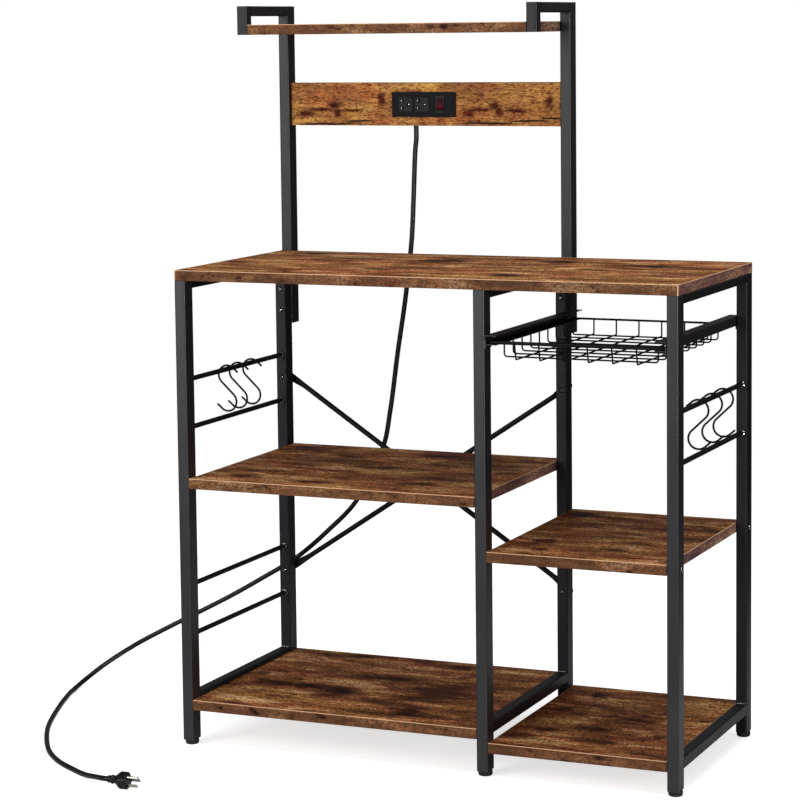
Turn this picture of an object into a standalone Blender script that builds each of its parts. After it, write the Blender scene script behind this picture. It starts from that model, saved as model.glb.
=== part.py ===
import math

import bmesh
import bpy
from mathutils import Vector

# Kitchen rack: two bays of shelves on six tube posts, with a raised shelf and a socket panel
# behind the left bay, a pull-out wire basket in the right bay and S-hooks on both sides.
# Metres. Places are measured from the front left corner on the floor:
# +X runs to the right, +Y to the back and +Z up. One empty carries them all,
# so that the rack stands centred on the world's origin.

# Whole rack
rack_width = 0.900
rack_depth = 0.420
desktop_height = 0.830
left_bay_width = 0.530
seat_gap = 0.0003
cut_overrun = 0.002

# Boards
board_thickness = 0.018
board_chamfer = 0.0008
board_corner = 0.0012
left_shelf_level = 0.452
right_shelf_level = 0.362
left_floor_level = 0.063
right_floor_level = 0.041

# Posts and rails, all of steel tube
post_width = 0.020
post_depth = 0.030
tube_wall = 0.0012
tube_corner = 0.0022
insert_thickness = 0.004
top_rail_height = 0.015
bottom_rail_height = 0.020
left_bottom_rail_level = 0.069
right_bottom_rail_level = 0.041

# Rungs of the side frames
rung_diameter = 0.009
left_hook_rung_height = 0.6387
right_hook_rung_height = 0.6217
hook_rung_spacing = 0.084
lower_rung_height = 0.280
lower_rung_spacing = 0.088

# Feet
foot_height = 0.009
foot_diameter = 0.024
foot_rounding = 0.0035
foot_stem_diameter = 0.006
foot_stem_length = 0.013
stem_clearance = 0.0003

# Raised frame with its shelf and panel
frame_top_height = 1.279
frame_overlap = 0.135
arm_height = 0.018
drop_depth = 0.020
drop_height = 0.051
top_shelf_front = 0.253
panel_drop = 0.218
panel_height = 0.078
panel_setback = 0.009

# Diagonal braces behind the left bay
brace_diameter = 0.008
brace_tab_width = 0.014
brace_tab_thickness = 0.0025
brace_tab_length = 0.022
brace_neck_length = 0.030
brace_high_end = 0.598
brace_low_end = 0.234
brace_end_inset = 0.010

# Socket unit in the panel
plate_width = 0.124
plate_height = 0.045
plate_thickness = 0.003
plate_corner = 0.0012
plate_chamfer = 0.0008
plate_left = 0.224
plate_rise = 0.016
housing_width = 0.112
housing_height = 0.032
housing_depth = 0.0387
housing_wall = 0.002
housing_corner = 0.002
panel_window_clearance = 0.001
socket_side = 0.0265
socket_corner = 0.003
socket_chamfer = 0.0006
socket_proud = 0.001
socket_body_depth = 0.014
socket_pitch = 0.0315
first_socket_inset = 0.0275
window_clearance = 0.0003
blade_slot_spacing = 0.0127
blade_slot_length = 0.0075
blade_slot_width = 0.0022
blade_slot_corner = 0.0005
ground_hole_diameter = 0.0054
ground_hole_offset = 0.0119
slot_depth = 0.010
bezel_width = 0.0165
bezel_height = 0.0305
bezel_thickness = 0.0012
bezel_corner = 0.0015
bezel_body_width = 0.0142
bezel_body_height = 0.0262
bezel_body_depth = 0.014
bezel_inset = 0.0950
rocker_width = 0.0108
rocker_height = 0.0205
rocker_clearance = 0.0003
rocker_valley = 0.0006
rocker_depth = 0.0085
rocker_throw_degrees = 16

# Basket and its runners
runner_width = 0.020
runner_height = 0.016
runner_drop = 0.108
runner_wall = 0.0012
runner_tab_height = 0.022
runner_tab_length = 0.026
runner_tab_thickness = 0.0022
basket_wire = 0.0028
basket_rim_wire = 0.0038
basket_front_bar = 0.006
basket_depth_below_rim = 0.0245
basket_front = 0.004
basket_back_inset = 0.028
basket_side_inset = 0.0078
basket_wall_inset = 0.0230
basket_cross_front_margin = 0.027
basket_cross_back_margin = 0.033
basket_cross_count = 9
basket_long_margin = 0.0283
basket_long_count = 6
basket_front_toe = 0.010
basket_bend = 0.005
weld_depth = 0.0008

# S-hooks
hook_wire = 0.0036
hook_bend_radius = 0.0172
hook_height = 0.0852
hook_tail = 0.013
hook_tail_fall_degrees = 40
left_hook_places = (0.173, 0.215, 0.268)
right_hook_places = (0.139, 0.216, 0.280)

# Power cord and plug
cord_diameter = 0.009
relief_length = 0.020
relief_top_diameter = 0.0145
relief_tip_diameter = 0.0105
cord_inset = 0.028
cord_point_count = 80
plug_heading_degrees = 3
plug_roll_degrees = 30
plug_nose = (0.0455, -0.2742)
plug_body_length = 0.026
plug_tail_length = 0.011
plug_body_width = 0.025
plug_body_height = 0.024
plug_tail_diameter = 0.0125
plug_collar_diameter = 0.0155
plug_corner = 0.007
blade_length = 0.017
blade_width = 0.0064
blade_thickness = 0.0015
blade_corner = 0.0005
blade_spacing = 0.0127
blade_drop = 0.0040
pin_diameter = 0.0048
pin_length = 0.0195
pin_chamfer = 0.0013
pin_lift = 0.0079

# Fineness of round shapes
corner_steps = 2
plug_corner_steps = 4
circle_steps = 20
rung_steps = 14
hook_arc_steps = 10
bend_steps = 3
wire_bend_steps = 2
route_steps = 24
smooth_degrees = 35

# Places that follow from the sizes above
middle_post_left = post_width + left_bay_width
right_post_left = rack_width - post_width
rear_post_front = rack_depth - post_depth
post_bottom = foot_height + seat_gap
post_top = desktop_height - board_thickness - seat_gap
frame_back = rack_depth + post_depth
frame_bottom_height = desktop_height - frame_overlap
top_shelf_level = frame_top_height - drop_height
panel_level = frame_top_height - panel_drop
plate_level = panel_level + plate_rise
panel_front = rack_depth + panel_setback
panel_back = panel_front + board_thickness
outlet_back = panel_front + seat_gap + housing_depth
frame_lefts = (0, middle_post_left, right_post_left)
runner_level = desktop_height - runner_drop
basket_rim_height = runner_level + runner_wall + seat_gap + basket_rim_wire / 2


def material(name, colour, roughness, metallic):
    """Principled material with one colour."""
    made = bpy.data.materials.new(name)
    made.use_nodes = True
    shader = made.node_tree.nodes["Principled BSDF"]
    shader.inputs["Base Color"].default_value = (*colour, 1)
    shader.inputs["Roughness"].default_value = roughness
    shader.inputs["Metallic"].default_value = metallic
    made.diffuse_color = (*colour, 1)
    return made


def place(thing, finish, at=(0, 0, 0)):
    """Hang an object under the rack's own origin and give it its material."""
    bpy.context.scene.collection.objects.link(thing)
    thing.parent = rack_origin
    thing.location = at
    thing.data.materials.append(finish)
    return thing


def rounded_outline(width, height, radius, centre=(0, 0), steps=corner_steps):
    """Rectangle with round corners, counter-clockwise, as points (a, b)."""
    side, rise = width / 2 - radius, height / 2 - radius
    corners = ((side, rise), (-side, rise), (-side, -rise), (side, -rise))
    outline = []
    for quarter, (a, b) in enumerate(corners):
        for step in range(steps + 1):
            angle = (quarter + step / steps) * math.pi / 2
            across, up = a + radius * math.cos(angle), b + radius * math.sin(angle)
            outline.append((centre[0] + across, centre[1] + up))
    return outline


def circle_outline(radius, steps, centre=(0, 0)):
    """Circle as points (a, b). The half step keeps it in line with a rounded outline's corners."""
    angles = [(step + 0.5) * 2 * math.pi / steps for step in range(steps)]
    return [(centre[0] + radius * math.cos(angle), centre[1] + radius * math.sin(angle)) for angle in angles]


def lay_ring(outline, along, axis):
    """Put an outline's points (a, b) at one place along an axis."""
    if axis == "X":
        return [Vector((along, a, b)) for a, b in outline]
    if axis == "Y":
        return [Vector((a, along, b)) for a, b in outline]
    return [Vector((a, b, along)) for a, b in outline]


def skin(name, rings, finish, at=(0, 0, 0), looped=False, smooth=False):
    """Join rings of equal point counts with faces. A looped skin comes back to its first ring."""
    shape = bmesh.new()
    rows = [[shape.verts.new(point) for point in ring] for ring in rings]
    pairs = list(zip(rows, rows[1:]))
    if looped:
        pairs.append((rows[-1], rows[0]))
    for low, high in pairs:
        for index in range(len(low)):
            after = (index + 1) % len(low)
            shape.faces.new((low[index], low[after], high[after], high[index]))
    if not looped:
        shape.faces.new(rows[0])
        shape.faces.new(rows[-1])
    bmesh.ops.recalc_face_normals(shape, faces=shape.faces)
    mesh = bpy.data.meshes.new(name)
    shape.to_mesh(mesh)
    shape.free()
    if smooth:
        mesh.shade_smooth()
        mesh.set_sharp_from_angle(angle=math.radians(smooth_degrees))
    return place(bpy.data.objects.new(name, mesh), finish, at)


def board(name, low, high, finish=None):
    """Board between two corners, with eased edges above and below."""
    size = [b - a for a, b in zip(low, high)]
    middle = [(a + b) / 2 for a, b in zip(low, high)]
    full = rounded_outline(size[0], size[1], board_corner)
    eased = rounded_outline(size[0] - 2 * board_chamfer, size[1] - 2 * board_chamfer, board_corner)
    half = size[2] / 2
    rings = [
        lay_ring(eased, -half, "Z"),
        lay_ring(full, board_chamfer - half, "Z"),
        lay_ring(full, half - board_chamfer, "Z"),
        lay_ring(eased, half, "Z"),
    ]
    return skin(name, rings, finish or wood, middle)


def tube(name, width, height, start, length, axis, capped=False):
    """Rectangular tube from the middle of one end. A capped tube is closed at its far end."""
    outer = rounded_outline(width, height, tube_corner)
    inner = rounded_outline(width - 2 * tube_wall, height - 2 * tube_wall, tube_corner - tube_wall)
    if capped:
        rings = [
            lay_ring(inner, length - tube_wall, axis),
            lay_ring(inner, 0, axis),
            lay_ring(outer, 0, axis),
            lay_ring(outer, length, axis),
        ]
        return skin(name, rings, black_steel, start)
    rings = [
        lay_ring(outer, 0, axis),
        lay_ring(outer, length, axis),
        lay_ring(inner, length, axis),
        lay_ring(inner, 0, axis),
    ]
    return skin(name, rings, black_steel, start, looped=True)


def rod(name, diameter, start, length, axis, steps, finish):
    """Round rod from the middle of one end."""
    outline = circle_outline(diameter / 2, steps)
    rings = [lay_ring(outline, 0, axis), lay_ring(outline, length, axis)]
    return skin(name, rings, finish, start, smooth=True)


def wire(name, paths, diameters, resolution):
    """Round wire along one or more lines of points, with filled ends."""
    curve = bpy.data.curves.new(name, "CURVE")
    curve.dimensions = "3D"
    curve.bevel_depth = diameters[0] / 2
    curve.bevel_resolution = resolution
    curve.use_fill_caps = True
    for path, diameter in zip(paths, diameters):
        spline = curve.splines.new("POLY")
        spline.points.add(len(path) - 1)
        for point, place_on_path in zip(spline.points, path):
            point.co = Vector(place_on_path).to_4d()
            point.radius = diameter / diameters[0]
    return bpy.data.objects.new(name, curve)


def wire_mesh(name, paths, diameters, resolution):
    """The same wires as a mesh, so that a Boolean can weld them."""
    curve = wire(name, paths, diameters, resolution)
    mesh = bpy.data.meshes.new_from_object(curve)
    bpy.data.objects.remove(curve)
    return bpy.data.objects.new(name, mesh)


def rounded_path(corners, radius):
    """Line of points through the corners, with each inner corner turned into an arc."""
    path = [Vector(corners[0])]
    for before, corner, after in zip(corners, corners[1:], corners[2:]):
        corner = Vector(corner)
        back = (Vector(before) - corner).normalized()
        onward = (Vector(after) - corner).normalized()
        half_angle = back.angle(onward) / 2
        reach = radius / math.tan(half_angle)
        centre = corner + (back + onward).normalized() * (radius / math.sin(half_angle))
        first = corner + back * reach - centre
        last = corner + onward * reach - centre
        sweep = math.pi - 2 * half_angle
        for step in range(wire_bend_steps + 1):
            share = step / wire_bend_steps
            weight_first = math.sin((1 - share) * sweep) / math.sin(sweep)
            weight_last = math.sin(share * sweep) / math.sin(sweep)
            path.append(centre + first * weight_first + last * weight_last)
    path.append(Vector(corners[-1]))
    return path


def cutter(thing, kind="DIFFERENCE"):
    """Hide a cutting shape and return a function that applies it to a target."""
    thing.hide_render = True
    thing.display_type = "WIRE"

    def cut(target):
        boolean = target.modifiers.new(thing.name, "BOOLEAN")
        boolean.operation = kind
        boolean.solver = "EXACT"
        boolean.object = thing

    return cut


def make_posts():
    """Six posts with a plate in the foot end, bored for the foot's stem."""
    outer = rounded_outline(post_width, post_depth, tube_corner)
    inner = rounded_outline(post_width - 2 * tube_wall, post_depth - 2 * tube_wall, tube_corner - tube_wall)
    bore = circle_outline(foot_stem_diameter / 2 + stem_clearance, len(outer))
    height = post_top - post_bottom
    rings = [
        lay_ring(outer, 0, "Z"),
        lay_ring(outer, height, "Z"),
        lay_ring(inner, height, "Z"),
        lay_ring(inner, insert_thickness, "Z"),
        lay_ring(bore, insert_thickness, "Z"),
        lay_ring(bore, 0, "Z"),
    ]
    for side, left in zip(("left", "middle", "right"), frame_lefts):
        for end, front in (("front", 0), ("rear", rear_post_front)):
            middle = (left + post_width / 2, front + post_depth / 2)
            skin(f"{end}_{side}_post", rings, black_steel, (*middle, post_bottom), looped=True)
            make_foot(f"{end}_{side}_foot", middle)


def make_foot(name, middle):
    """Round foot with a stem that stands in the post's plate. Its origin is on its turning axis."""
    radius = foot_diameter / 2
    profile = [(radius - foot_rounding, 0)]
    for step in range(1, bend_steps + 1):
        angle = step / bend_steps * math.pi / 2
        out, up = foot_rounding * math.sin(angle), foot_rounding * math.cos(angle)
        profile.append((radius - foot_rounding + out, foot_rounding - up))
    profile.append((radius, foot_height))
    profile.append((foot_stem_diameter / 2, foot_height))
    profile.append((foot_stem_diameter / 2, foot_height + foot_stem_length))
    rings = [lay_ring(circle_outline(r, circle_steps), z, "Z") for r, z in profile]
    skin(name, rings, black_plastic, (*middle, 0), smooth=True)


def make_side_frames():
    """Upper and lower rails and the rungs between the front and the rear post of each frame."""
    start = post_depth + seat_gap
    length = rack_depth - 2 * start
    for side, left in zip(("left", "middle", "right"), frame_lefts):
        x = left + post_width / 2
        tube(
            f"{side}_top_rail", post_width, top_rail_height,
            (x, start, post_top - top_rail_height / 2), length, "Y",
        )
        level = right_bottom_rail_level if side == "right" else left_bottom_rail_level
        tube(
            f"{side}_bottom_rail", post_width, bottom_rail_height,
            (x, start, level + bottom_rail_height / 2), length, "Y",
        )
    rungs = {
        "left_hook_rung": (0, left_hook_rung_height),
        "left_second_rung": (0, left_hook_rung_height - hook_rung_spacing),
        "left_third_rung": (0, lower_rung_height),
        "left_fourth_rung": (0, lower_rung_height - lower_rung_spacing),
        "right_hook_rung": (right_post_left, right_hook_rung_height),
        "right_second_rung": (right_post_left, right_hook_rung_height - hook_rung_spacing),
    }
    for name, (left, height) in rungs.items():
        rod(name, rung_diameter, (left + post_width / 2, start, height), length, "Y", rung_steps, black_steel)


def make_boards():
    """Desktop on the posts, and the shelves between them."""
    board("desktop", (0, 0, desktop_height - board_thickness), (rack_width, rack_depth, desktop_height))
    left_bay = (post_width + seat_gap, middle_post_left - seat_gap)
    right_bay = (middle_post_left + post_width + seat_gap, right_post_left - seat_gap)
    shelves = {
        "left_shelf": (left_bay, left_shelf_level),
        "right_shelf": (right_bay, right_shelf_level),
        "bottom_left_shelf": (left_bay, left_floor_level),
        "bottom_right_shelf": (right_bay, right_floor_level),
    }
    for name, ((left, right), level) in shelves.items():
        board(name, (left, 0, level), (right, rack_depth, level + board_thickness))


def make_raised_frame():
    """Uprights behind the rear posts, with an arm and a drop tube in front of each, and the top shelf."""
    upright_front = rack_depth + seat_gap
    upright_height = frame_top_height - frame_bottom_height
    arm_start = top_shelf_front + drop_depth + seat_gap
    for side, left in (("left", 0), ("right", middle_post_left)):
        x = left + post_width / 2
        tube(
            f"raised_{side}_upright", post_width, post_depth - seat_gap,
            (x, (upright_front + frame_back) / 2, frame_bottom_height), upright_height, "Z", capped=True,
        )
        tube(
            f"raised_{side}_arm", post_width, arm_height,
            (x, arm_start, frame_top_height - arm_height / 2), upright_front - seat_gap - arm_start, "Y",
        )
        tube(
            f"raised_{side}_drop", post_width, drop_depth,
            (x, top_shelf_front + drop_depth / 2, top_shelf_level), drop_height, "Z", capped=True,
        )
    low = (post_width + seat_gap, top_shelf_front, top_shelf_level)
    high = (middle_post_left - seat_gap, frame_back, top_shelf_level + board_thickness)
    board("top_shelf", low, high)


def brace_sections(length):
    """Rings along a brace rod whose ends are pressed flat, with the flats against the posts."""
    tip_share, waist_share = 0.45, 0.5
    tab_half = brace_tab_thickness / 2
    radius = brace_diameter / 2
    half_tab = brace_tab_length / 2
    stations = [
        (-half_tab, brace_tab_width * tip_share, tab_half, tab_half),
        (-half_tab * waist_share, brace_tab_width * (1 + tip_share) * waist_share, tab_half, tab_half),
        (0, brace_tab_width, tab_half, tab_half),
        (half_tab, brace_tab_width, tab_half, tab_half),
        (half_tab + brace_neck_length, brace_diameter, radius, radius),
    ]
    mirrored = [(length - along, width, thick, lift) for along, width, thick, lift in reversed(stations)]
    return stations + mirrored


def make_brace(name, start, end, back_step):
    """Brace from one bolt to the other. The rod of the rear brace steps back past the front one."""
    start, end = Vector(start), Vector(end)
    length = (end - start).length
    along_axis = (end - start).normalized()
    across = Vector((0, 1, 0)).cross(along_axis)
    rings = []
    for along, width, thick, lift in brace_sections(length):
        round_share = (thick - brace_tab_thickness / 2) / (brace_diameter / 2 - brace_tab_thickness / 2)
        middle = along_axis * along + Vector((0, lift + back_step * round_share, 0))
        ring = []
        for a, b in circle_outline(1, rung_steps):
            ring.append(middle + across * (a * width / 2) + Vector((0, b * thick, 0)))
        rings.append(ring)
    skin(name, rings, black_steel, start, smooth=True)


def make_braces():
    """Two crossing braces bolted to the back of the left and the middle rear post."""
    back = rack_depth + seat_gap
    left = brace_end_inset
    right = middle_post_left + brace_end_inset
    make_brace("front_brace", (left, back, brace_high_end), (right, back, brace_low_end), 0)
    step = brace_diameter + seat_gap
    make_brace("rear_brace", (right, back, brace_high_end), (left, back, brace_low_end), step)


def make_panel():
    """Back panel between the uprights, with a window for the socket unit."""
    centre_x = (post_width + middle_post_left) / 2
    centre_z = panel_level + panel_height / 2
    width = left_bay_width - 2 * seat_gap
    full = rounded_outline(width, panel_height, board_corner)
    eased = rounded_outline(width - 2 * board_chamfer, panel_height - 2 * board_chamfer, board_corner)
    window_centre = (plate_left + plate_width / 2 - centre_x, plate_level + plate_height / 2 - centre_z)
    window = rounded_outline(
        housing_width + 2 * panel_window_clearance, housing_height + 2 * panel_window_clearance,
        housing_corner, window_centre,
    )
    rings = [
        lay_ring(eased, 0, "Y"),
        lay_ring(full, board_chamfer, "Y"),
        lay_ring(full, board_thickness - board_chamfer, "Y"),
        lay_ring(eased, board_thickness, "Y"),
        lay_ring(window, board_thickness, "Y"),
        lay_ring(window, 0, "Y"),
    ]
    skin("outlet_panel", rings, wood, (centre_x, panel_front, centre_z), looped=True)


def make_outlet():
    """Housing, face plate, two sockets and a rocker switch, seated in the panel."""
    centre_x = plate_left + plate_width / 2
    centre_z = plate_level + plate_height / 2
    outer = rounded_outline(housing_width, housing_height, housing_corner)
    inner = rounded_outline(
        housing_width - 2 * housing_wall, housing_height - 2 * housing_wall, housing_corner / 2
    )
    housing = [
        lay_ring(inner, housing_depth - housing_wall, "Y"),
        lay_ring(inner, 0, "Y"),
        lay_ring(outer, 0, "Y"),
        lay_ring(outer, housing_depth, "Y"),
    ]
    skin("outlet_housing", housing, black_plastic, (centre_x, panel_front + seat_gap, centre_z))

    plate_back = panel_front - seat_gap
    plate_front = plate_back - plate_thickness
    face = rounded_outline(plate_width - 2 * plate_chamfer, plate_height - 2 * plate_chamfer, plate_corner)
    body = rounded_outline(plate_width, plate_height, plate_corner)
    rings = [
        lay_ring(face, 0, "Y"),
        lay_ring(body, plate_chamfer, "Y"),
        lay_ring(body, plate_thickness, "Y"),
    ]
    plate = skin("outlet_plate", rings, black_plastic, (centre_x, plate_front, centre_z))

    places = [plate_left + first_socket_inset + step * socket_pitch for step in range(2)]
    for name, x in zip(("first", "second"), places):
        make_socket(f"{name}_socket", (x, plate_front - socket_proud, centre_z), plate)
    make_switch((plate_left + bezel_inset, plate_front - seat_gap, centre_z), plate)


def plate_window(name, width, height, corner, at):
    """Cutting shape for a window through the face plate."""
    outline = rounded_outline(width + 2 * window_clearance, height + 2 * window_clearance, corner)
    depth = plate_thickness + 2 * cut_overrun
    rings = [lay_ring(outline, 0, "Y"), lay_ring(outline, depth, "Y")]
    start = panel_front - seat_gap - plate_thickness - cut_overrun
    return cutter(skin(name, rings, black_plastic, (at[0], start, at[2])))


def make_socket(name, at, plate):
    """Socket turned on its side: two flat slots one above the other, and a round hole to the right."""
    plate_window(f"{name}_window", socket_side, socket_side, socket_corner, at)(plate)
    face = rounded_outline(socket_side - 2 * socket_chamfer, socket_side - 2 * socket_chamfer, socket_corner)
    body = rounded_outline(socket_side, socket_side, socket_corner)
    rings = [
        lay_ring(face, 0, "Y"),
        lay_ring(body, socket_chamfer, "Y"),
        lay_ring(body, socket_body_depth, "Y"),
    ]
    socket = skin(name, rings, dark_plastic, at)
    front = at[1] - cut_overrun
    depth = slot_depth + cut_overrun
    slot = rounded_outline(blade_slot_length, blade_slot_width, blade_slot_corner)
    slot_x = at[0] - ground_hole_offset / 2
    for place_name, side in (("upper", 1), ("lower", -1)):
        slot_at = (slot_x, front, at[2] + side * blade_slot_spacing / 2)
        rings = [lay_ring(slot, 0, "Y"), lay_ring(slot, depth, "Y")]
        cutter(skin(f"{name}_{place_name}_slot", rings, dark_plastic, slot_at))(socket)
    hole_at = (slot_x + ground_hole_offset, front, at[2])
    hole = rod(f"{name}_ground_hole", ground_hole_diameter, hole_at, depth, "Y", rung_steps, dark_plastic)
    cutter(hole)(socket)


def make_switch(at, plate):
    """Frame of the switch, clipped through the plate, and the rocker that tips in it."""
    plate_window("switch_window", bezel_body_width, bezel_body_height, bezel_corner, at)(plate)
    flange = rounded_outline(bezel_width, bezel_height, bezel_corner)
    body = rounded_outline(bezel_body_width, bezel_body_height, bezel_corner)
    opening = rounded_outline(
        rocker_width + 2 * rocker_clearance, rocker_height + 2 * rocker_clearance, bezel_corner / 2
    )
    rings = [
        lay_ring(flange, -bezel_thickness, "Y"),
        lay_ring(flange, 0, "Y"),
        lay_ring(body, 0, "Y"),
        lay_ring(body, bezel_body_depth, "Y"),
        lay_ring(opening, bezel_body_depth, "Y"),
        lay_ring(opening, -bezel_thickness, "Y"),
    ]
    skin("switch_frame", rings, dark_plastic, at, looped=True)

    # The rocker's ends are arcs about its axis, and its face is a shallow V whose upper half
    # lies level with the frame while the lower half stands out.
    radius = rocker_height / 2
    throw = math.radians(rocker_throw_degrees)
    tilt = throw / 2
    end_rise = rocker_valley + radius * math.tan(tilt)
    face_angle = math.asin(end_rise / radius)
    back_angle = math.asin(min(1, rocker_depth / (2 * radius)))
    upper = []
    for step in range(bend_steps + 1):
        angle = face_angle - step / bend_steps * (face_angle + back_angle)
        upper.append((-radius * math.sin(angle), radius * math.cos(angle)))
    outline = [(-rocker_valley, 0)] + upper + [(y, -z) for y, z in reversed(upper)]
    half = rocker_width / 2
    rings = [lay_ring(outline, -half, "X"), lay_ring(outline, half, "X")]
    rocker = skin("switch_rocker", rings, red_plastic, (at[0], at[1] - bezel_thickness, at[2]))
    rocker.rotation_euler = (-tilt, 0, 0)


def make_runners():
    """Channels on the inner faces of the right bay's posts, open towards the basket."""
    left = middle_post_left + post_width + seat_gap
    right = right_post_left - seat_gap
    for side, x, turn in (("left", left, 1), ("right", right, -1)):
        outline = [
            (0, 0),
            (runner_width, 0),
            (runner_width, runner_wall),
            (runner_wall, runner_wall),
            (runner_wall, runner_height - runner_wall),
            (runner_width, runner_height - runner_wall),
            (runner_width, runner_height),
            (0, runner_height),
        ]
        outline = [(turn * a, b) for a, b in outline]
        rings = [lay_ring(outline, 0, "Y"), lay_ring(outline, rack_depth, "Y")]
        runner = skin(f"{side}_runner", rings, black_steel, (x, 0, runner_level))
        low = runner_height - runner_tab_height
        tab = [(0, low), (turn * runner_tab_thickness, low)]
        tab += [(turn * runner_tab_thickness, runner_height / 2), (0, runner_height / 2)]
        for end, start in (("front", 0), ("rear", rack_depth - runner_tab_length)):
            rings = [lay_ring(tab, start, "Y"), lay_ring(tab, start + runner_tab_length, "Y")]
            joint = skin(f"{side}_runner_{end}_tab", rings, black_steel, (x, 0, runner_level))
            cutter(joint, "UNION")(runner)


def make_basket():
    """Wire basket welded from a front bar, three rims, cross wires and long wires.

    The side rims and the bar's ends rest on the lower flanges of the runners.
    """
    left = middle_post_left + post_width + basket_side_inset
    right = right_post_left - basket_side_inset
    inner_left = middle_post_left + post_width + basket_wall_inset
    inner_right = right_post_left - basket_wall_inset
    at = Vector((left, basket_front, basket_rim_height))
    floor = -basket_depth_below_rim
    long_floor = floor - basket_wire + weld_depth
    width = right - left
    depth = rack_depth - basket_back_inset - basket_front
    bar_lift = (basket_front_bar - basket_rim_wire) / 2
    paths = [
        [(0, 0, bar_lift), (width, 0, bar_lift)],
        [(0, 0, 0), (0, depth, 0)],
        [(width, 0, 0), (width, depth, 0)],
        [(-basket_rim_wire / 2, depth, 0), (width + basket_rim_wire / 2, depth, 0)],
    ]
    diameters = [basket_front_bar] + [basket_rim_wire] * 3
    wall_left, wall_right = inner_left - left, inner_right - left
    cross_pitch = (depth - basket_cross_front_margin - basket_cross_back_margin) / (basket_cross_count - 1)
    long_pitch = (wall_right - wall_left - 2 * basket_long_margin) / (basket_long_count - 1)
    for index in range(basket_cross_count):
        y = basket_cross_front_margin + index * cross_pitch
        corners = [
            (0, y, 0),
            (wall_left, y, 0),
            (wall_left, y, floor),
            (wall_right, y, floor),
            (wall_right, y, 0),
            (width, y, 0),
        ]
        paths.append(rounded_path(corners, basket_bend))
        diameters.append(basket_wire)
    for index in range(basket_long_count):
        x = wall_left + basket_long_margin + index * long_pitch
        corners = [
            (x, 0, 0),
            (x, basket_front_toe - basket_front, long_floor),
            (x, depth, long_floor),
            (x, depth, 0),
        ]
        paths.append(rounded_path(corners, basket_wire))
        diameters.append(basket_wire)
    bar = wire_mesh("basket_front_bar", paths[:1], diameters[:1], 2)
    basket = place(wire_mesh("wire_basket", paths[1:], diameters[1:], 1), black_steel, at)
    cutter(place(bar, black_steel, at), "UNION")(basket)
    basket.modifiers[0].use_self = True


def make_hook(name, place_along, frame_left, rung_height, turn):
    """S-hook on a rung. Its origin is on the rung's axis, about which it swings."""
    radius = hook_bend_radius
    top = rung_diameter / 2 + seat_gap + hook_wire / 2
    upper = (0, top - radius)
    drop = hook_height - hook_wire - 2 * radius
    lower = (0, upper[1] - drop)
    slant = math.asin(2 * radius / drop)
    fall = math.radians(hook_tail_fall_degrees)
    first_angle = math.pi / 2 - fall
    last_angle = math.pi + slant
    arc = []
    for step in range(hook_arc_steps + 1):
        angle = first_angle + step / hook_arc_steps * (last_angle - first_angle)
        arc.append((radius * math.cos(angle), radius * math.sin(angle)))
    tail = (arc[0][0] + hook_tail * math.cos(fall), arc[0][1] - hook_tail * math.sin(fall))
    half = [tail] + arc
    path = [(turn * (upper[0] + a), 0, upper[1] + b) for a, b in half]
    path += [(turn * (lower[0] - a), 0, lower[1] - b) for a, b in reversed(half)]
    hook = wire(name, [path], [hook_wire], 2)
    place(hook, black_steel, (frame_left + post_width / 2, place_along, rung_height))


def make_hooks():
    """Three S-hooks on each hook rung, mirrored from one side to the other."""
    ends = ("front", "middle", "rear")
    for end, y in zip(ends, left_hook_places):
        make_hook(f"left_hook_{end}", y, 0, left_hook_rung_height, 1)
    for end, y in zip(ends, right_hook_places):
        make_hook(f"right_hook_{end}", y, right_post_left, right_hook_rung_height, -1)


def smooth_route(points, count, lowest):
    """Evenly spaced points on a smooth curve through the route's own points, none under the lowest."""
    points = [Vector(point) for point in points]
    ends = [points[0] * 2 - points[1]] + points + [points[-1] * 2 - points[-2]]
    samples = []
    for index in range(1, len(ends) - 2):
        p0, p1, p2, p3 = ends[index - 1:index + 3]
        gaps = [math.sqrt((b - a).length) for a, b in ((p0, p1), (p1, p2), (p2, p3))]
        out = (p1 - p0) / gaps[0] - (p2 - p0) / (gaps[0] + gaps[1]) + (p2 - p1) / gaps[1]
        into = (p2 - p1) / gaps[1] - (p3 - p1) / (gaps[1] + gaps[2]) + (p3 - p2) / gaps[2]
        out, into = out * gaps[1], into * gaps[1]
        for step in range(route_steps):
            t = step / route_steps
            samples.append(
                p1 * (2 * t**3 - 3 * t**2 + 1) + out * (t**3 - 2 * t**2 + t)
                + p2 * (3 * t**2 - 2 * t**3) + into * (t**3 - t**2)
            )
    samples.append(points[-1])
    for sample in samples:
        sample.z = max(sample.z, lowest)
    lengths = [0]
    for a, b in zip(samples, samples[1:]):
        lengths.append(lengths[-1] + (b - a).length)
    route, index = [], 0
    for step in range(count):
        wanted = lengths[-1] * step / (count - 1)
        while index < len(samples) - 2 and lengths[index + 1] < wanted:
            index += 1
        share = (wanted - lengths[index]) / (lengths[index + 1] - lengths[index])
        route.append(samples[index].lerp(samples[index + 1], share))
    print(f"cord length {lengths[-1]:.3f} m")
    return route


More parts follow.
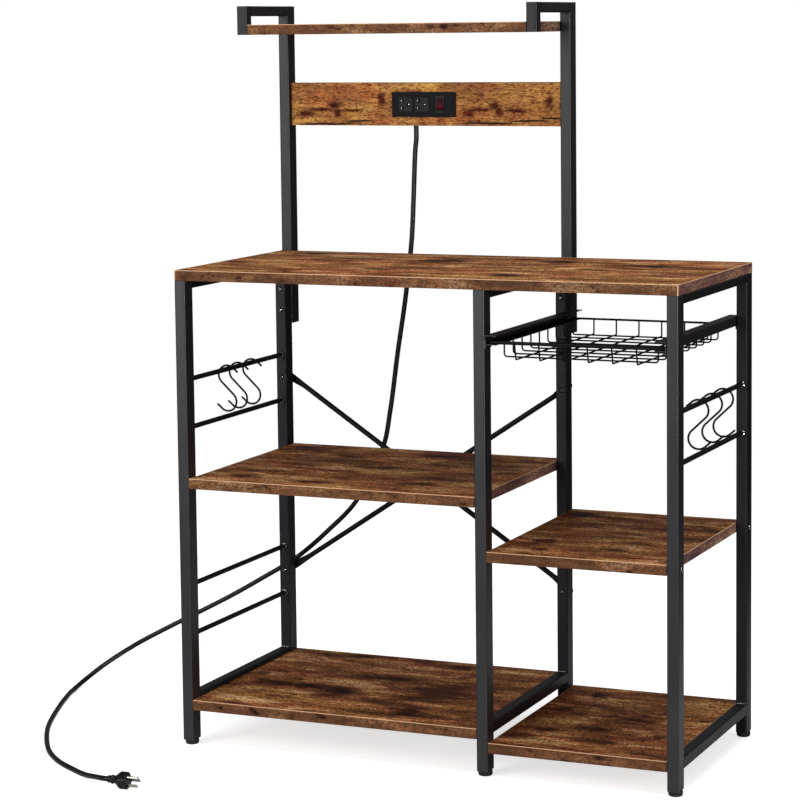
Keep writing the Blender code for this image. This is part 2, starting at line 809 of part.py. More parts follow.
def make_cord():
    """Strain relief under the housing, cord to the floor and its plug."""
    x = plate_left + (plate_width - housing_width) / 2 + cord_inset
    y = (panel_back + outlet_back) / 2
    top = plate_level + plate_height / 2 - housing_height / 2 - seat_gap
    shoulder_share = 0.2
    profile = (
        (relief_top_diameter, 0),
        (relief_top_diameter, -relief_length * shoulder_share),
        (relief_tip_diameter, -relief_length),
    )
    rings = [lay_ring(circle_outline(width / 2, rung_steps), z, "Z") for width, z in profile]
    skin("strain_relief", rings, black_plastic, (x, y, top), smooth=True)

    heading = math.radians(plug_heading_degrees)
    roll = math.radians(plug_roll_degrees)
    forward = Vector((math.cos(heading), math.sin(heading), 0))
    corner_side = plug_body_width / 2 - plug_corner
    corner_rise = plug_body_height / 2 - plug_corner
    plug_height = corner_side * math.sin(roll) + corner_rise * math.cos(roll) + plug_corner
    nose = Vector((*plug_nose, plug_height))
    plug_end = nose - forward * (plug_body_length + plug_tail_length)
    cord_end = plug_end - forward * seat_gap
    exit_point = Vector((x, y, top - relief_length - seat_gap))
    floor = cord_diameter / 2

    # The hanging part's heights are shares of the height at which the cord comes out.
    hanging_shares = [
        (0.2555, 0.4580, 0.956),
        (0.2500, 0.4600, 0.869),
        (0.2455, 0.4600, 0.801),
        (0.2312, 0.4600, 0.696),
        (0.2158, 0.4600, 0.609),
        (0.1988, 0.4600, 0.503),
        (0.1835, 0.4600, 0.4375),
        (0.1270, 0.4600, 0.3387),
        (0.0690, 0.4600, 0.2832),
        (0.0050, 0.4560, 0.2318),
        (-0.0700, 0.4490, 0.1877),
        (-0.1300, 0.4400, 0.1545),
        (-0.1900, 0.4280, 0.1240),
        (-0.2504, 0.4100, 0.0938),
        (-0.3055, 0.3830, 0.0642),
        (-0.3500, 0.3420, 0.0334),
    ]
    lying_route = [
        (-0.3706, 0.3000, 0.0128),
        (-0.3673, 0.2475, floor),
        (-0.3521, 0.1975, floor),
        (-0.3300, 0.1360, floor),
        (-0.2802, 0.0157, floor),
        (-0.2398, -0.0589, floor),
        (-0.1878, -0.1361, floor),
        (-0.1391, -0.1859, floor),
        (-0.0784, -0.2279, floor),
        (-0.0520, -0.2455, 0.0062),
        (-0.0258, -0.2616, 0.0102),
    ]
    route = [exit_point, exit_point - Vector((0, 0, 3 * cord_diameter))]
    route += [(a, b, exit_point.z * height_share) for a, b, height_share in hanging_shares]
    route += lying_route + [cord_end - forward * cord_diameter]
    path = smooth_route(route, cord_point_count - 1, floor) + [cord_end]
    place(wire("power_cord", [path], [cord_diameter], 2), black_rubber)
    make_plug(nose, heading, roll)


def plug_outline(width, height, radius):
    """Cross-section of the plug's body."""
    return rounded_outline(width, height, radius, steps=plug_corner_steps)


def make_plug(nose, heading, roll):
    """Moulded plug lying rolled on the floor, with two flat blades and a round earth pin above them."""
    tail_start = -plug_body_length - plug_tail_length
    shoulder_share, neck_share, edge_share = 0.55, 0.4, 0.25
    neck_width = plug_body_width * shoulder_share
    neck_height = plug_body_height * shoulder_share
    neck_corner = plug_corner * shoulder_share
    circle_count = 4 * (plug_corner_steps + 1)
    tail = circle_outline(plug_tail_diameter / 2, circle_count)
    collar = circle_outline(plug_collar_diameter / 2, circle_count)
    sections = [
        (tail_start, tail),
        (-plug_body_length - plug_tail_length * neck_share, tail),
        (-plug_body_length - plug_tail_length * neck_share / 2, collar),
        (-plug_body_length, collar),
        (plug_corner / 2 - plug_body_length, plug_outline(neck_width, neck_height, neck_corner)),
        (-plug_body_length * shoulder_share, plug_outline(plug_body_width, plug_body_height, plug_corner)),
        (-plug_corner * edge_share, plug_outline(plug_body_width, plug_body_height, plug_corner)),
        (0, plug_outline(plug_body_width - plug_corner / 2, plug_body_height - plug_corner / 2, plug_corner)),
    ]
    rings = [lay_ring(outline, along, "X") for along, outline in sections]
    turned = [skin("power_plug", rings, black_rubber, nose, smooth=True)]
    blade = rounded_outline(blade_thickness, blade_width, blade_corner)
    start = seat_gap
    for name, side in (("live_blade", 1), ("neutral_blade", -1)):
        shifted = [(a + side * blade_spacing / 2, b - blade_drop) for a, b in blade]
        rings = [lay_ring(shifted, start, "X"), lay_ring(shifted, start + blade_length, "X")]
        turned.append(skin(name, rings, bright_metal, nose))
    pin = circle_outline(pin_diameter / 2, rung_steps, (0, pin_lift))
    tip = circle_outline(pin_diameter / 2 - pin_chamfer, rung_steps, (0, pin_lift))
    rings = [
        lay_ring(pin, start, "X"),
        lay_ring(pin, start + pin_length - pin_chamfer, "X"),
        lay_ring(tip, start + pin_length, "X"),
    ]
    turned.append(skin("earth_pin", rings, bright_metal, nose, smooth=True))
    for thing in turned:
        thing.rotation_euler = (roll, 0, heading)


for leftover in list(bpy.data.objects):
    bpy.data.objects.remove(leftover)

black_steel = material("black_steel", (0.030, 0.030, 0.032), 0.45, 0.3)
wood = material("rustic_board", (0.235, 0.115, 0.055), 0.55, 0)
black_plastic = material("black_plastic", (0.015, 0.015, 0.016), 0.5, 0)
dark_plastic = material("dark_plastic", (0.030, 0.030, 0.033), 0.4, 0)
red_plastic = material("red_plastic", (0.400, 0.010, 0.015), 0.3, 0)
black_rubber = material("black_rubber", (0.012, 0.012, 0.012), 0.55, 0)
bright_metal = material("bright_metal", (0.700, 0.680, 0.620), 0.25, 1)

rack_origin = bpy.data.objects.new("rack_origin", None)
rack_origin.location = (-rack_width / 2, -outlet_back / 2, 0)
bpy.context.scene.collection.objects.link(rack_origin)

make_posts()
make_side_frames()
make_boards()
make_raised_frame()
make_braces()
make_panel()
make_outlet()
make_runners()
make_basket()
make_hooks()
make_cord()
bpy.context.view_layer.update()
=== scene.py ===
import math
from types import SimpleNamespace

import bmesh
import bpy
import numpy as np
from mathutils import Matrix, Vector


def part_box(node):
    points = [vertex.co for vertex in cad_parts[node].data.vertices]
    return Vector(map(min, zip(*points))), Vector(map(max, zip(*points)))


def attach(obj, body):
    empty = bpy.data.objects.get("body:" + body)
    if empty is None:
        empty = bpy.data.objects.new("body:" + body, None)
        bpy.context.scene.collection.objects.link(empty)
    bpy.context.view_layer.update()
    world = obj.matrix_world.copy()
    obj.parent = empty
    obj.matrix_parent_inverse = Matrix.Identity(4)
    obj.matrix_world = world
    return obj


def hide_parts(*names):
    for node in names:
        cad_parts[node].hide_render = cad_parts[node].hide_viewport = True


# Kitchen rack of black tube and rustic boards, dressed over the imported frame.
# Metres, +X to the right, +Y to the back, +Z up.

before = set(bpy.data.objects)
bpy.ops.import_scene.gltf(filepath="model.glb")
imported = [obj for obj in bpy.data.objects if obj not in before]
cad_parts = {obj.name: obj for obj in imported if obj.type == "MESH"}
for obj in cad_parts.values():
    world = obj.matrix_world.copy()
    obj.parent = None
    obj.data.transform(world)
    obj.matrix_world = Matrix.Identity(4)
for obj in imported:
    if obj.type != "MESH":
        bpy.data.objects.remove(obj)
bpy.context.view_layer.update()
print("frame loaded")

# The rack's front left corner on the floor, from which the places below are taken
rackCorner = np.array([-0.450, -0.234, 0.0])
rackSides = ("left", "middle", "right")


def fromCorner(*place):
    return np.array(place, float) + rackCorner


def span(node):
    low, high = (np.array(corner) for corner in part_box(node))
    return SimpleNamespace(low=low, high=high, middle=(low + high) / 2, size=high - low)


def addObject(name, data):
    added = bpy.data.objects.new(name, data)
    bpy.context.scene.collection.objects.link(added)
    return added


# Camera

photoCamera = {
    "place": (1.71885, -4.24454, 1.24130),
    "yaw": 0.41094,
    "pitch": 0.10247,
    "roll": -0.01144,
    "lens": 120.04,
    "shiftY": -0.125,
}


def addCamera(look):
    yaw, pitch, roll = look["yaw"], look["pitch"], look["roll"]
    ahead = Vector((-math.sin(yaw) * math.cos(pitch), math.cos(yaw) * math.cos(pitch), -math.sin(pitch)))
    level = Vector((math.cos(yaw), math.sin(yaw), 0))
    rise = level.cross(ahead)
    right = math.cos(roll) * level + math.sin(roll) * rise
    up = -math.sin(roll) * level + math.cos(roll) * rise
    camera = addObject("photo_camera", bpy.data.cameras.new("photo_camera"))
    camera.data.lens = look["lens"]
    camera.data.shift_y = look["shiftY"]
    turn = Matrix((right, up, -ahead)).transposed().to_4x4()
    camera.matrix_world = Matrix.Translation(look["place"]) @ turn
    bpy.context.scene.camera = camera


addCamera(photoCamera)
print("camera placed")


# Materials

def linear(hexColour):
    # sRGB hex to linear, channel by channel
    channels = [int(hexColour[i:i + 2], 16) / 255 for i in (1, 3, 5)]
    return (*[c / 12.92 if c <= 0.04045 else ((c + 0.055) / 1.055) ** 2.4 for c in channels], 1)


def addNode(tree, kind, inputs=None):
    # A node with its settings, values and links, given back as its outputs;
    # a hex text is a colour and another node's output is linked
    node = tree.nodes.new("ShaderNode" + kind)
    for name, value in (inputs or {}).items():
        if name == "stops":
            stops = node.color_ramp.elements
            while len(stops) < len(value):
                stops.new(1)
            for stop, (position, colour) in zip(stops, value):
                stop.position = position
                stop.color = linear(colour)
        elif isinstance(value, bpy.types.NodeSocket):
            tree.links.new(value, node.inputs[name])
        elif isinstance(name, str) and hasattr(node, name):
            setattr(node, name, value)
        else:
            node.inputs[name].default_value = linear(value) if isinstance(value, str) else value
    return node.outputs


def newMaterial(name):
    material = bpy.data.materials.new(name)
    material.use_nodes = True
    material.node_tree.nodes.clear()
    return material, material.node_tree


def makeFinish(name, look):
    # One soft cloud moves tone and gloss a little, and a fine grain breaks the reflections
    material, tree = newMaterial(name)
    place = addNode(tree, "TexCoord")["Object"]
    spread = addNode(tree, "Mapping", {"Vector": place, "Scale": look["cloudPerMetre"]})[0]
    cloud = addNode(tree, "TexNoise", {"Vector": spread, "Scale": 1.0, "Detail": look["cloudDetail"]})["Fac"]
    colour = addNode(tree, "ValToRGB", {"Fac": cloud, "stops": look["tones"]})["Color"]
    lowest, highest = look["roughness"]
    gloss = addNode(tree, "MapRange", {"Value": cloud, "To Min": lowest, "To Max": highest})["Result"]
    if "lamp" in look:
        # Painted glow: near the place of a lamp behind the surface the colour is mixed towards a clearer one
        lamp = tuple(fromCorner(*look["lamp"]))
        away = addNode(tree, "VectorMath", {"operation": "DISTANCE", 0: place, 1: lamp})["Value"]
        glow = {"Value": away, "From Max": look["lampReach"], "To Min": 1.0, "To Max": 0.0}
        glow = addNode(tree, "MapRange", glow)["Result"]
        colour = addNode(tree, "MixRGB", {"Fac": glow, "Color1": colour, "Color2": look["lampColour"]})["Color"]
    surface = look["shader"] | {"Base Color": colour, "Roughness": gloss}
    if "grainPerMetre" in look:
        grain = {"Vector": place, "Scale": look["grainPerMetre"], "Detail": look["grainDetail"]}
        grain = addNode(tree, "TexNoise", grain)["Fac"]
        bump = {"Height": grain, "Strength": look["grainStrength"], "Distance": look["grainDepth"]}
        surface["Normal"] = addNode(tree, "Bump", bump)["Normal"]
    surface = addNode(tree, "BsdfPrincipled", surface)["BSDF"]
    addNode(tree, "OutputMaterial", {"Surface": surface})
    return material


# Powder-coated mild steel: the baked resin leaves a fine orange peel that softens reflections.
# The peel's real period is about 1 mm, drawn at 2 mm so that it shows at all.
steelLook = {
    "grainPerMetre": 500.0,
    "grainDetail": 2.0,
    "grainStrength": 0.25,
    "grainDepth": 0.00012,
    "cloudPerMetre": (14.0, 14.0, 14.0),
    "cloudDetail": 3.0,
    "tones": [(0.30, "#131217"), (0.70, "#19181e")],
    "roughness": (0.36, 0.46),
    "shader": {"Specular IOR Level": 0.5},
}
powderCoat = makeFinish("powder_coated_steel", steelLook)
# Painted shade: what lies behind and between the front posts is seen darker, so its copy of the coat mirrors
# less;
# the raised frame's copy mirrors a little less as well
shadedRearCoat = makeFinish("painted_shade_rear_steel", steelLook | {"shader": {"Specular IOR Level": 0.20}})
shadedRaisedCoat = makeFinish("painted_shade_raised_steel", steelLook | {"shader": {"Specular IOR Level": 0.34}})
# Rods and wires have the same coat, made darker and duller as painted shade
shadedRodCoat = makeFinish("painted_shade_rod_coat", steelLook | {
    "tones": [(0.30, "#0c0c0e"), (0.70, "#131315")], "shader": {"Specular IOR Level": 0.12},
})
shadedWireCoat = makeFinish("painted_shade_wire_coat", steelLook | {
    "tones": [(0.30, "#0a0a0b"), (0.70, "#111112")], "roughness": (0.34, 0.46),
    "shader": {"Specular IOR Level": 0.08},
})
# Melted beads are smoother than sprayed tube, so that they glint
beadCoat = makeFinish("coated_weld_bead", steelLook | {
    "roughness": (0.14, 0.22), "grainStrength": 0.08,
    "shader": {"Specular IOR Level": 1.0, "Coat Weight": 1.0, "Coat Roughness": 0.14, "Coat IOR": 2.0},
})

# Injection-moulded ABS: spark-eroded grain that breaks the gloss into a fine satin.
# The real grain is a tenth or two of a millimetre, drawn at 0.6 mm so that it shows.
plasticLook = {
    "grainPerMetre": 1600.0,
    "grainDetail": 1.0,
    "grainStrength": 0.2,
    "grainDepth": 0.00005,
    "cloudPerMetre": (60.0, 60.0, 60.0),
    "cloudDetail": 2.0,
    "tones": [(0.3, "#111114"), (0.7, "#18181c")],
    "roughness": (0.40, 0.52),
    "shader": {"Specular IOR Level": 0.05},
}
mouldedAbs = makeFinish("moulded_abs", plasticLook)
socketPlastic = makeFinish("moulded_socket_plastic", plasticLook | {
    "tones": [(0.3, "#202023"), (0.7, "#2b2b2f")], "roughness": (0.42, 0.55),
    "shader": {"Specular IOR Level": 0.08},
})
# Nylon of the feet, slicker than the ABS
footPlastic = makeFinish("moulded_nylon", plasticLook | {
    "tones": [(0.3, "#0f0f10"), (0.7, "#161618")], "roughness": (0.30, 0.42),
    "shader": {"Specular IOR Level": 0.4},
})
# Soft PVC of cord and plug: a coarser skin, and a dull shine along its top
cordRubber = makeFinish("moulded_pvc", plasticLook | {
    "grainPerMetre": 900.0, "tones": [(0.3, "#080809"), (0.7, "#0e0e10")], "roughness": (0.30, 0.42),
    "shader": {"Specular IOR Level": 0.25},
})
# Tinted polycarbonate over a small lamp: deep crimson, with a clearer red painted round the lamp's place as its
# glow
redLens = makeFinish("tinted_polycarbonate", plasticLook | {
    "tones": [(0.3, "#2c050d"), (0.7, "#3a0812")], "roughness": (0.30, 0.40), "grainStrength": 0.02,
    "shader": {"Specular IOR Level": 0.04},
    "lamp": (0.319, 0.4240, 1.0955), "lampReach": 0.007, "lampColour": "#6a0d1c",
})

# Nickel plating: polishing marks along X, a millimetre apart so that they show, and faint stains
platedBrass = makeFinish("nickel_plated_brass", {
    "cloudPerMetre": (80.0, 900.0, 900.0), "cloudDetail": 3.0, "tones": [(0.3, "#9a978f"), (0.7, "#c8c5bd")],
    "roughness": (0.16, 0.28), "shader": {"Metallic": 1.0},
})
# Black zinc on bolt heads: dark, with a bright glint where a softbox is mirrored
blackZinc = makeFinish("black_zinc_screw", {
    "cloudPerMetre": (500.0, 500.0, 500.0), "cloudDetail": 3.0, "tones": [(0.3, "#5c5c5e"), (0.7, "#7c7c7e")],
    "roughness": (0.12, 0.20), "shader": {"Metallic": 1.0},
})

# Old oak printed on foil. The tone is the ground, and each layer over it has its share, its patches
# per metre along and across the board, its detail, how far its edges swirl, and its darkening colours.
foilLook = {
    "tone": {
        "perMetre": (8.5, 29.0), "detail": 5.0, "swirl": 0.5,
        "stops": [(0.34, "#654026"), (0.42, "#93623c"), (0.50, "#b47f52"), (0.57, "#d2a36e"), (0.66, "#f2cfa2")],
    },
    "hue": {
        "share": 0.9, "perMetre": (9.0, 20.0), "detail": 2.0, "swirl": 0.0,
        "stops": [(0.40, "#ffdcd2"), (0.50, "#fff6f0"), (0.62, "#fff6d2")],
    },
    "streak": {
        "share": 0.45, "perMetre": (9.0, 96.0), "detail": 4.0, "swirl": 0.6,
        "stops": [(0.38, "#4c3929"), (0.47, "#cfc1b6"), (0.54, "#ffffff")],
    },
    "speck": {
        "share": 0.9, "perMetre": (230.0, 330.0), "detail": 2.0, "swirl": 0.0,
        "stops": [(0.39, "#4c3828"), (0.49, "#dccdc0"), (0.58, "#ffffff")],
    },
    "scratch": {
        "share": 0.75, "perMetre": (62.0, 300.0), "detail": 2.0, "swirl": 1.0,
        "stops": [(0.37, "#4e3424"), (0.43, "#d8c4b4"), (0.47, "#ffffff")],
    },
    "knot": {
        "share": 0.9, "perMetre": (7.0, 30.0), "detail": 4.0, "swirl": 1.2,
        "stops": [(0.28, "#4f3829"), (0.38, "#ffffff")],
    },
    "band": {
        "perMetre": (30.0, 64.0), "detail": 2.0, "swirl": 0.0,
        "stops": [(0.30, "#5c4c48"), (0.40, "#b3aab0"), (0.66, "#cccad2")],
    },
    # Marks at chosen places
    "light": {"share": 0.6, "softness": 0.6, "colour": "#c2965c", "blend": "MIX"},
    "dark": {"share": 1.0, "softness": 0.45, "colour": "#8a7162", "blend": "MULTIPLY"},
    "cracks": {"share": 1.0, "softness": 0.3, "colour": "#2a170e", "blend": "MIX"},
    # How the print's lines wander, and how ragged the marks' edges are
    "bent": {"perMetre": 9.0, "detail": 2.0, "reach": (0.0, 0.010, 0.010)},
    "ragged": {"perMetre": 34.0, "detail": 4.0, "reach": (0.070, 0.026, 0.026)},
    "bandCalm": 0.50,
    "bandMiddle": "#8c6644",
    # The ends are mixed towards a greyish purple, a painted sheen
    "endSheenShare": 0.45,
    "endSheenColour": "#6b5a63",
    # Pale rim on the upper edges: partly rubbed foil, partly painted highlight
    "rimWearAndHighlightColour": "#d6ab86",
    "rimWearAndHighlight": {"From Min": 0.45, "From Max": 0.85, "To Max": 0.9},
    "roughness": (0.46, 0.62),
    "specular": 0.06,
    "poreStrength": 0.35,
    "poreDepth": 0.0002,
}
# The desktop's patches stand out more than the shelves'
deskLook = foilLook | {
    "light": foilLook["light"] | {"colour": "#dcae72"}, "dark": foilLook["dark"] | {"colour": "#664e42"},
}
uprightLook = foilLook | {
    "tone": foilLook["tone"] | {
        "perMetre": (13.0, 26.0),
        "stops": [(0.26, "#735130"), (0.38, "#9e7047"), (0.50, "#b88751"), (0.60, "#cea160"), (0.72, "#ecc678")],
    },
    "streak": foilLook["streak"] | {
        "perMetre": (22.0, 190.0), "stops": [(0.36, "#6f5a4b"), (0.47, "#ddd2ca"), (0.58, "#ffffff")],
    },
    "speck": foilLook["speck"] | {
        "perMetre": (130.0, 420.0), "stops": [(0.36, "#8a5a40"), (0.48, "#ecdccd"), (0.58, "#ffffff")],
    },
    "scratch": foilLook["scratch"] | {"stops": [(0.34, "#6a4a34"), (0.40, "#ffffff")]},
    "knot": foilLook["knot"] | {"stops": [(0.18, "#6b4a38"), (0.28, "#ffffff")]},
    "dark": foilLook["dark"] | {"colour": "#7c4c38"},
    "ragged": {"perMetre": 110.0, "detail": 4.0, "reach": (0.016, 0.012, 0.012)},
}
# Where the print has its knots, pale patches and cracks, in millimetres: place along and across the board
# from the rack's front left foot, then half the length and half the width. The panel counts its height.
boardMarks = {
    "desktop": {
        "dark": [
            (325, 117, 26, 15), (95, 364, 35, 16), (384, 294, 44, 20), (581, 330, 27, 30), (760, 296, 78, 14),
            (577, 78, 22, 20), (197, 21, 13, 13), (681, 202, 32, 10),
        ],
        "light": [
            (111, 153, 41, 27), (298, 374, 38, 23), (628, 406, 34, 19), (594, 196, 41, 21), (852, 215, 25, 21),
        ],
    },
    "left_shelf": {
        "dark": [
            (80, 382, 31, 16), (187, 305, 24, 12), (100, 58, 29, 19), (278, 210, 46, 14), (232, 41, 35, 11),
            (417, 86, 40, 11), (335, 369, 34, 17),
        ],
        "light": [
            (94, 167, 23, 19), (185, 223, 34, 15), (353, 148, 39, 14),
        ],
    },
    "right_shelf": {
        "dark": [
            (630, 121, 20, 18), (648, 50, 12, 13), (758, 87, 22, 13), (603, 365, 36, 27),
        ],
        "light": [
            (826, 103, 21, 48), (728, 167, 25, 25),
        ],
    },
    "bottom_left_shelf": {
        "dark": [
            (100, 160, 47, 14), (227, 140, 36, 42), (171, 164, 33, 16), (394, 64, 21, 25), (397, 212, 56, 43),
            (269, 263, 67, 18), (44, 218, 12, 11), (158, 400, 23, 12), (366, 380, 31, 18),
        ],
        "light": [
            (268, 52, 67, 19), (32, 73, 26, 19), (170, 330, 51, 18),
        ],
    },
    "bottom_right_shelf": {
        "dark": [
            (611, 252, 13, 15), (639, 360, 15, 23), (761, 224, 29, 8), (713, 143, 31, 15), (602, 66, 26, 25),
            (628, 117, 22, 10), (820, 130, 12, 14), (741, 73, 40, 12), (867, 258, 19, 8),
        ],
        "light": [
            (713, 313, 49, 33), (627, 194, 32, 19), (838, 318, 32, 32),
        ],
    },
    "outlet_panel": {
        "dark": [
            (107, 1097.4, 10, 7.3), (114, 1084.6, 7, 9.1), (79, 1090, 28, 3.3), (145, 1088.7, 22, 3.1),
            (52, 1082.6, 16, 6.6), (422, 1097.8, 10, 7.1), (431, 1086.2, 7, 8.9), (393, 1090.6, 27, 3.2),
            (462, 1088.4, 23, 3), (371, 1083.4, 15, 6.4), (201, 1109.3, 8, 10.9), (526, 1105.9, 8, 12.3),
        ],
        "light": [
            (133, 1107.4, 16, 12.7), (456, 1104.9, 17, 10.6), (537, 1111.2, 8, 10.6),
        ],
        "cracks": [
            (88, 1064.6, 56, 1.9), (159, 1069.2, 30, 1.7), (410, 1065.9, 54, 1.9), (490, 1070.4, 42, 1.9),
            (531, 1074.8, 23, 1.8),
        ],
    },
}


def makeFoilBoard(name, look, marks, upright=False):
    # Particle board in a printed foil of old oak: tan, yellowish and reddish patches along the board,
    # dark knots, fine pores and a few cracks; a calmer band on the narrow faces, a painted sheen of greyish
    # purple on the ends, and a pale rim that is partly rubbed foil and partly painted highlight
    material, tree = newMaterial(name)
    place = addNode(tree, "TexCoord")["Object"]
    normal = addNode(tree, "NewGeometry")["Normal"]
    facing = addNode(tree, "VectorMath", {"operation": "ABSOLUTE", 0: normal})[0]
    facing = addNode(tree, "SeparateXYZ", {"Vector": facing})
    # A face that looks along the board is an end, and one that looks across it is a band
    onEnd = addNode(tree, "Math", {"operation": "GREATER_THAN", 0: facing["X"], 1: 0.8})[0]
    onBand = addNode(tree, "Math", {"operation": "GREATER_THAN", 0: facing["Z" if upright else "Y"], 1: 0.5})[0]
    # On the ends the print runs along Y
    parts = addNode(tree, "SeparateXYZ", {"Vector": place})
    swapped = addNode(tree, "CombineXYZ", {"X": parts["Y"], "Y": parts["X"], "Z": parts["Z"]})[0]
    along = addNode(tree, "MixRGB", {"Fac": onEnd, "Color1": place, "Color2": swapped})["Color"]

    def shaken(source, shake):
        # The place moved about by a noise of its own, so that what follows it wanders
        drift = {"Vector": source, "Scale": shake["perMetre"], "Detail": shake["detail"], "Roughness": 0.65}
        drift = addNode(tree, "TexNoise", drift)["Color"]
        drift = addNode(tree, "VectorMath", {"operation": "SUBTRACT", 0: drift, 1: (0.5, 0.5, 0.5)})[0]
        moved = {"operation": "MULTIPLY_ADD", 0: drift, 1: shake["reach"], 2: source}
        return addNode(tree, "VectorMath", moved)[0]

    bent = shaken(along, look["bent"])
    ragged = shaken(place, look["ragged"])

    def marked(kind):
        # Full share inside the nearest mark of that kind and none outside, with a soft edge between
        mark, nearest = look[kind], None
        for values in marks[kind]:
            first, second, halfLength, halfWidth = (value / 1000 for value in values)
            centre = fromCorner(first, 0.0, second) if upright else fromCorner(first, second, 0.0)
            scale = (1 / halfLength, 0.0, 1 / halfWidth) if upright else (1 / halfLength, 1 / halfWidth, 0.0)
            offset = {"operation": "SUBTRACT", 0: bent if kind == "cracks" else ragged, 1: tuple(centre)}
            offset = addNode(tree, "VectorMath", offset)[0]
            offset = addNode(tree, "VectorMath", {"operation": "MULTIPLY", 0: offset, 1: scale})[0]
            away = addNode(tree, "VectorMath", {"operation": "LENGTH", 0: offset})["Value"]
            if nearest is not None:
                away = addNode(tree, "Math", {"operation": "MINIMUM", 0: nearest, 1: away})[0]
            nearest = away
        inside = {"Value": nearest, "To Min": mark["share"], "To Max": 0.0}
        inside |= {"From Min": 1 - mark["softness"], "From Max": 1 + mark["softness"]}
        return addNode(tree, "MapRange", inside)["Result"], mark["colour"], mark["blend"]

    fields, inks = {}, {}
    for kind in ("tone", "hue", "streak", "speck", "scratch", "knot", "band"):
        layer = look[kind]
        scale = (layer["perMetre"][0], layer["perMetre"][1], layer["perMetre"][1])
        spread = addNode(tree, "Mapping", {"Vector": bent, "Scale": scale})[0]
        field = {"Vector": spread, "Scale": 1.0, "Detail": layer["detail"], "Distortion": layer["swirl"]}
        fields[kind] = addNode(tree, "TexNoise", field | {"Roughness": 0.6})["Fac"]
        inks[kind] = addNode(tree, "ValToRGB", {"Fac": fields[kind], "stops": layer["stops"]})["Color"]
    calm = addNode(tree, "Math", {"operation": "MULTIPLY", 0: onBand, 1: look["bandCalm"]})[0]
    # Painted sheen: how far the ends are mixed towards the greyish purple
    shift = addNode(tree, "Math", {"operation": "MULTIPLY", 0: onEnd, 1: look["endSheenShare"]})[0]
    # The pale rim, partly rubbed foil and partly painted highlight
    rim = addNode(tree, "Attribute", {"attribute_name": "rim"})["Fac"]
    paleRimShare = addNode(tree, "MapRange", look["rimWearAndHighlight"] | {"Value": rim})["Result"]
    layers = []
    for kind in ("light", "hue", "streak", "speck", "scratch", "knot", "dark", "cracks"):
        if kind in marks:
            layers.append(marked(kind))
        elif kind in inks:
            layers.append((look[kind]["share"], inks[kind], "MULTIPLY"))
    layers += [(calm, look["bandMiddle"], "MIX"), (onBand, inks["band"], "MULTIPLY")]
    layers += [(shift, look["endSheenColour"], "MIX"), (paleRimShare, look["rimWearAndHighlightColour"], "MIX")]
    colour = inks["tone"]
    for share, ink, blend in layers:
        layer = {"blend_type": blend, "Fac": share, "Color1": colour, "Color2": ink}
        colour = addNode(tree, "MixRGB", layer)["Color"]

    lowest, highest = look["roughness"]
    sheen = addNode(tree, "MapRange", {"Value": fields["streak"], "To Min": lowest, "To Max": highest})["Result"]
    pores = {"Height": fields["streak"], "Strength": look["poreStrength"], "Distance": look["poreDepth"]}
    surface = addNode(tree, "BsdfPrincipled", {
        "Base Color": colour, "Roughness": sheen, "Specular IOR Level": look["specular"],
        "Normal": addNode(tree, "Bump", pores)["Normal"],
    })
    addNode(tree, "OutputMaterial", {"Surface": surface["BSDF"]})
    return material


print("materials made")


# Surfaces. Each comes as its points, its faces and its rim, which marks a board's pale edges,
# partly rubbed foil and partly painted highlight.

poleRadius = 0.0001  # smallest radius of a turned profile


def unit(vectors):
    return vectors / np.linalg.norm(vectors, axis=-1, keepdims=True)


def circle(angle):
    return np.stack([np.cos(angle), np.sin(angle)], axis=-1)


def fullTurn(count):
    return np.linspace(0, 2 * np.pi, count, endpoint=False)


def eased(share):
    # From 0 to 1 with a soft start and end: three squares less two cubes
    share = np.clip(share, 0, 1)
    return share * share * (3 - 2 * share)


def gridFaces(rows, columns, closeRows):
    # Quads between neighbouring points of a grid, wrapped round the columns and, if closed, the rows
    row = np.arange(rows if closeRows else rows - 1)[:, None]
    column = np.arange(columns)[None, :]
    nextRow, nextColumn = (row + 1) % rows, (column + 1) % columns
    corners = (
        row * columns + column, row * columns + nextColumn,
        nextRow * columns + nextColumn, nextRow * columns + column,
    )
    return np.stack(np.broadcast_arrays(*corners), axis=-1).reshape(-1, 4).tolist()


def loft(rings, closeRows=False, rim=0):
    # Closed rings of equal point counts, joined in order. The last ring joins the first,
    # or else flat caps close the two end rings.
    rings = np.asarray(rings, float)
    rows, columns = rings.shape[:2]
    faces = gridFaces(rows, columns, closeRows)
    if not closeRows:
        faces.append(list(range(columns)))
        faces.append(list(range((rows - 1) * columns, rows * columns)))
    return rings.reshape(-1, 3), faces, np.broadcast_to(rim, (rows, columns)).reshape(-1)


def carried(path, radius, normal, sides=16):
    # Circle carried along a flat path: centre + radius (cos a side + sin a normal),
    # where side is square to the path and to the normal of its plane
    side = unit(np.cross(unit(np.gradient(path, axis=0)), normal))
    angle = fullTurn(sides)[None, :, None]
    radius = np.broadcast_to(radius, len(path))[:, None, None]
    return loft(path[:, None] + radius * (np.cos(angle) * side[:, None] + np.sin(angle) * normal))


def roundEnds(path, radius, steps=4, firstAngle=0.12):
    # The same path with a half ball at each end, whose radius is the sine of an angle from its tip
    first, last = unit(path[0] - path[1]), unit(path[-1] - path[-2])
    angle = np.linspace(firstAngle, np.pi / 2, steps + 1)[:-1]
    reach = radius * (np.cos(angle) - 1)[:, None]
    head = path[0] + first * reach
    tail = (path[-1] + last * reach)[::-1]
    keepFrom, keepTo = path[0] - first * radius, path[-1] - last * radius
    radii = np.concatenate([radius * np.sin(angle), np.full(len(path), radius), radius * np.sin(angle)[::-1]])
    return np.concatenate([head, [keepFrom], path[1:-1], [keepTo], tail]), radii


def squareTo(axis):
    # Two directions square to an axis and to each other
    slanted = (0.3, 0.5, 0.81)  # along none of the axes in use
    first = unit(np.cross(axis, slanted))
    return first, np.cross(axis, first)


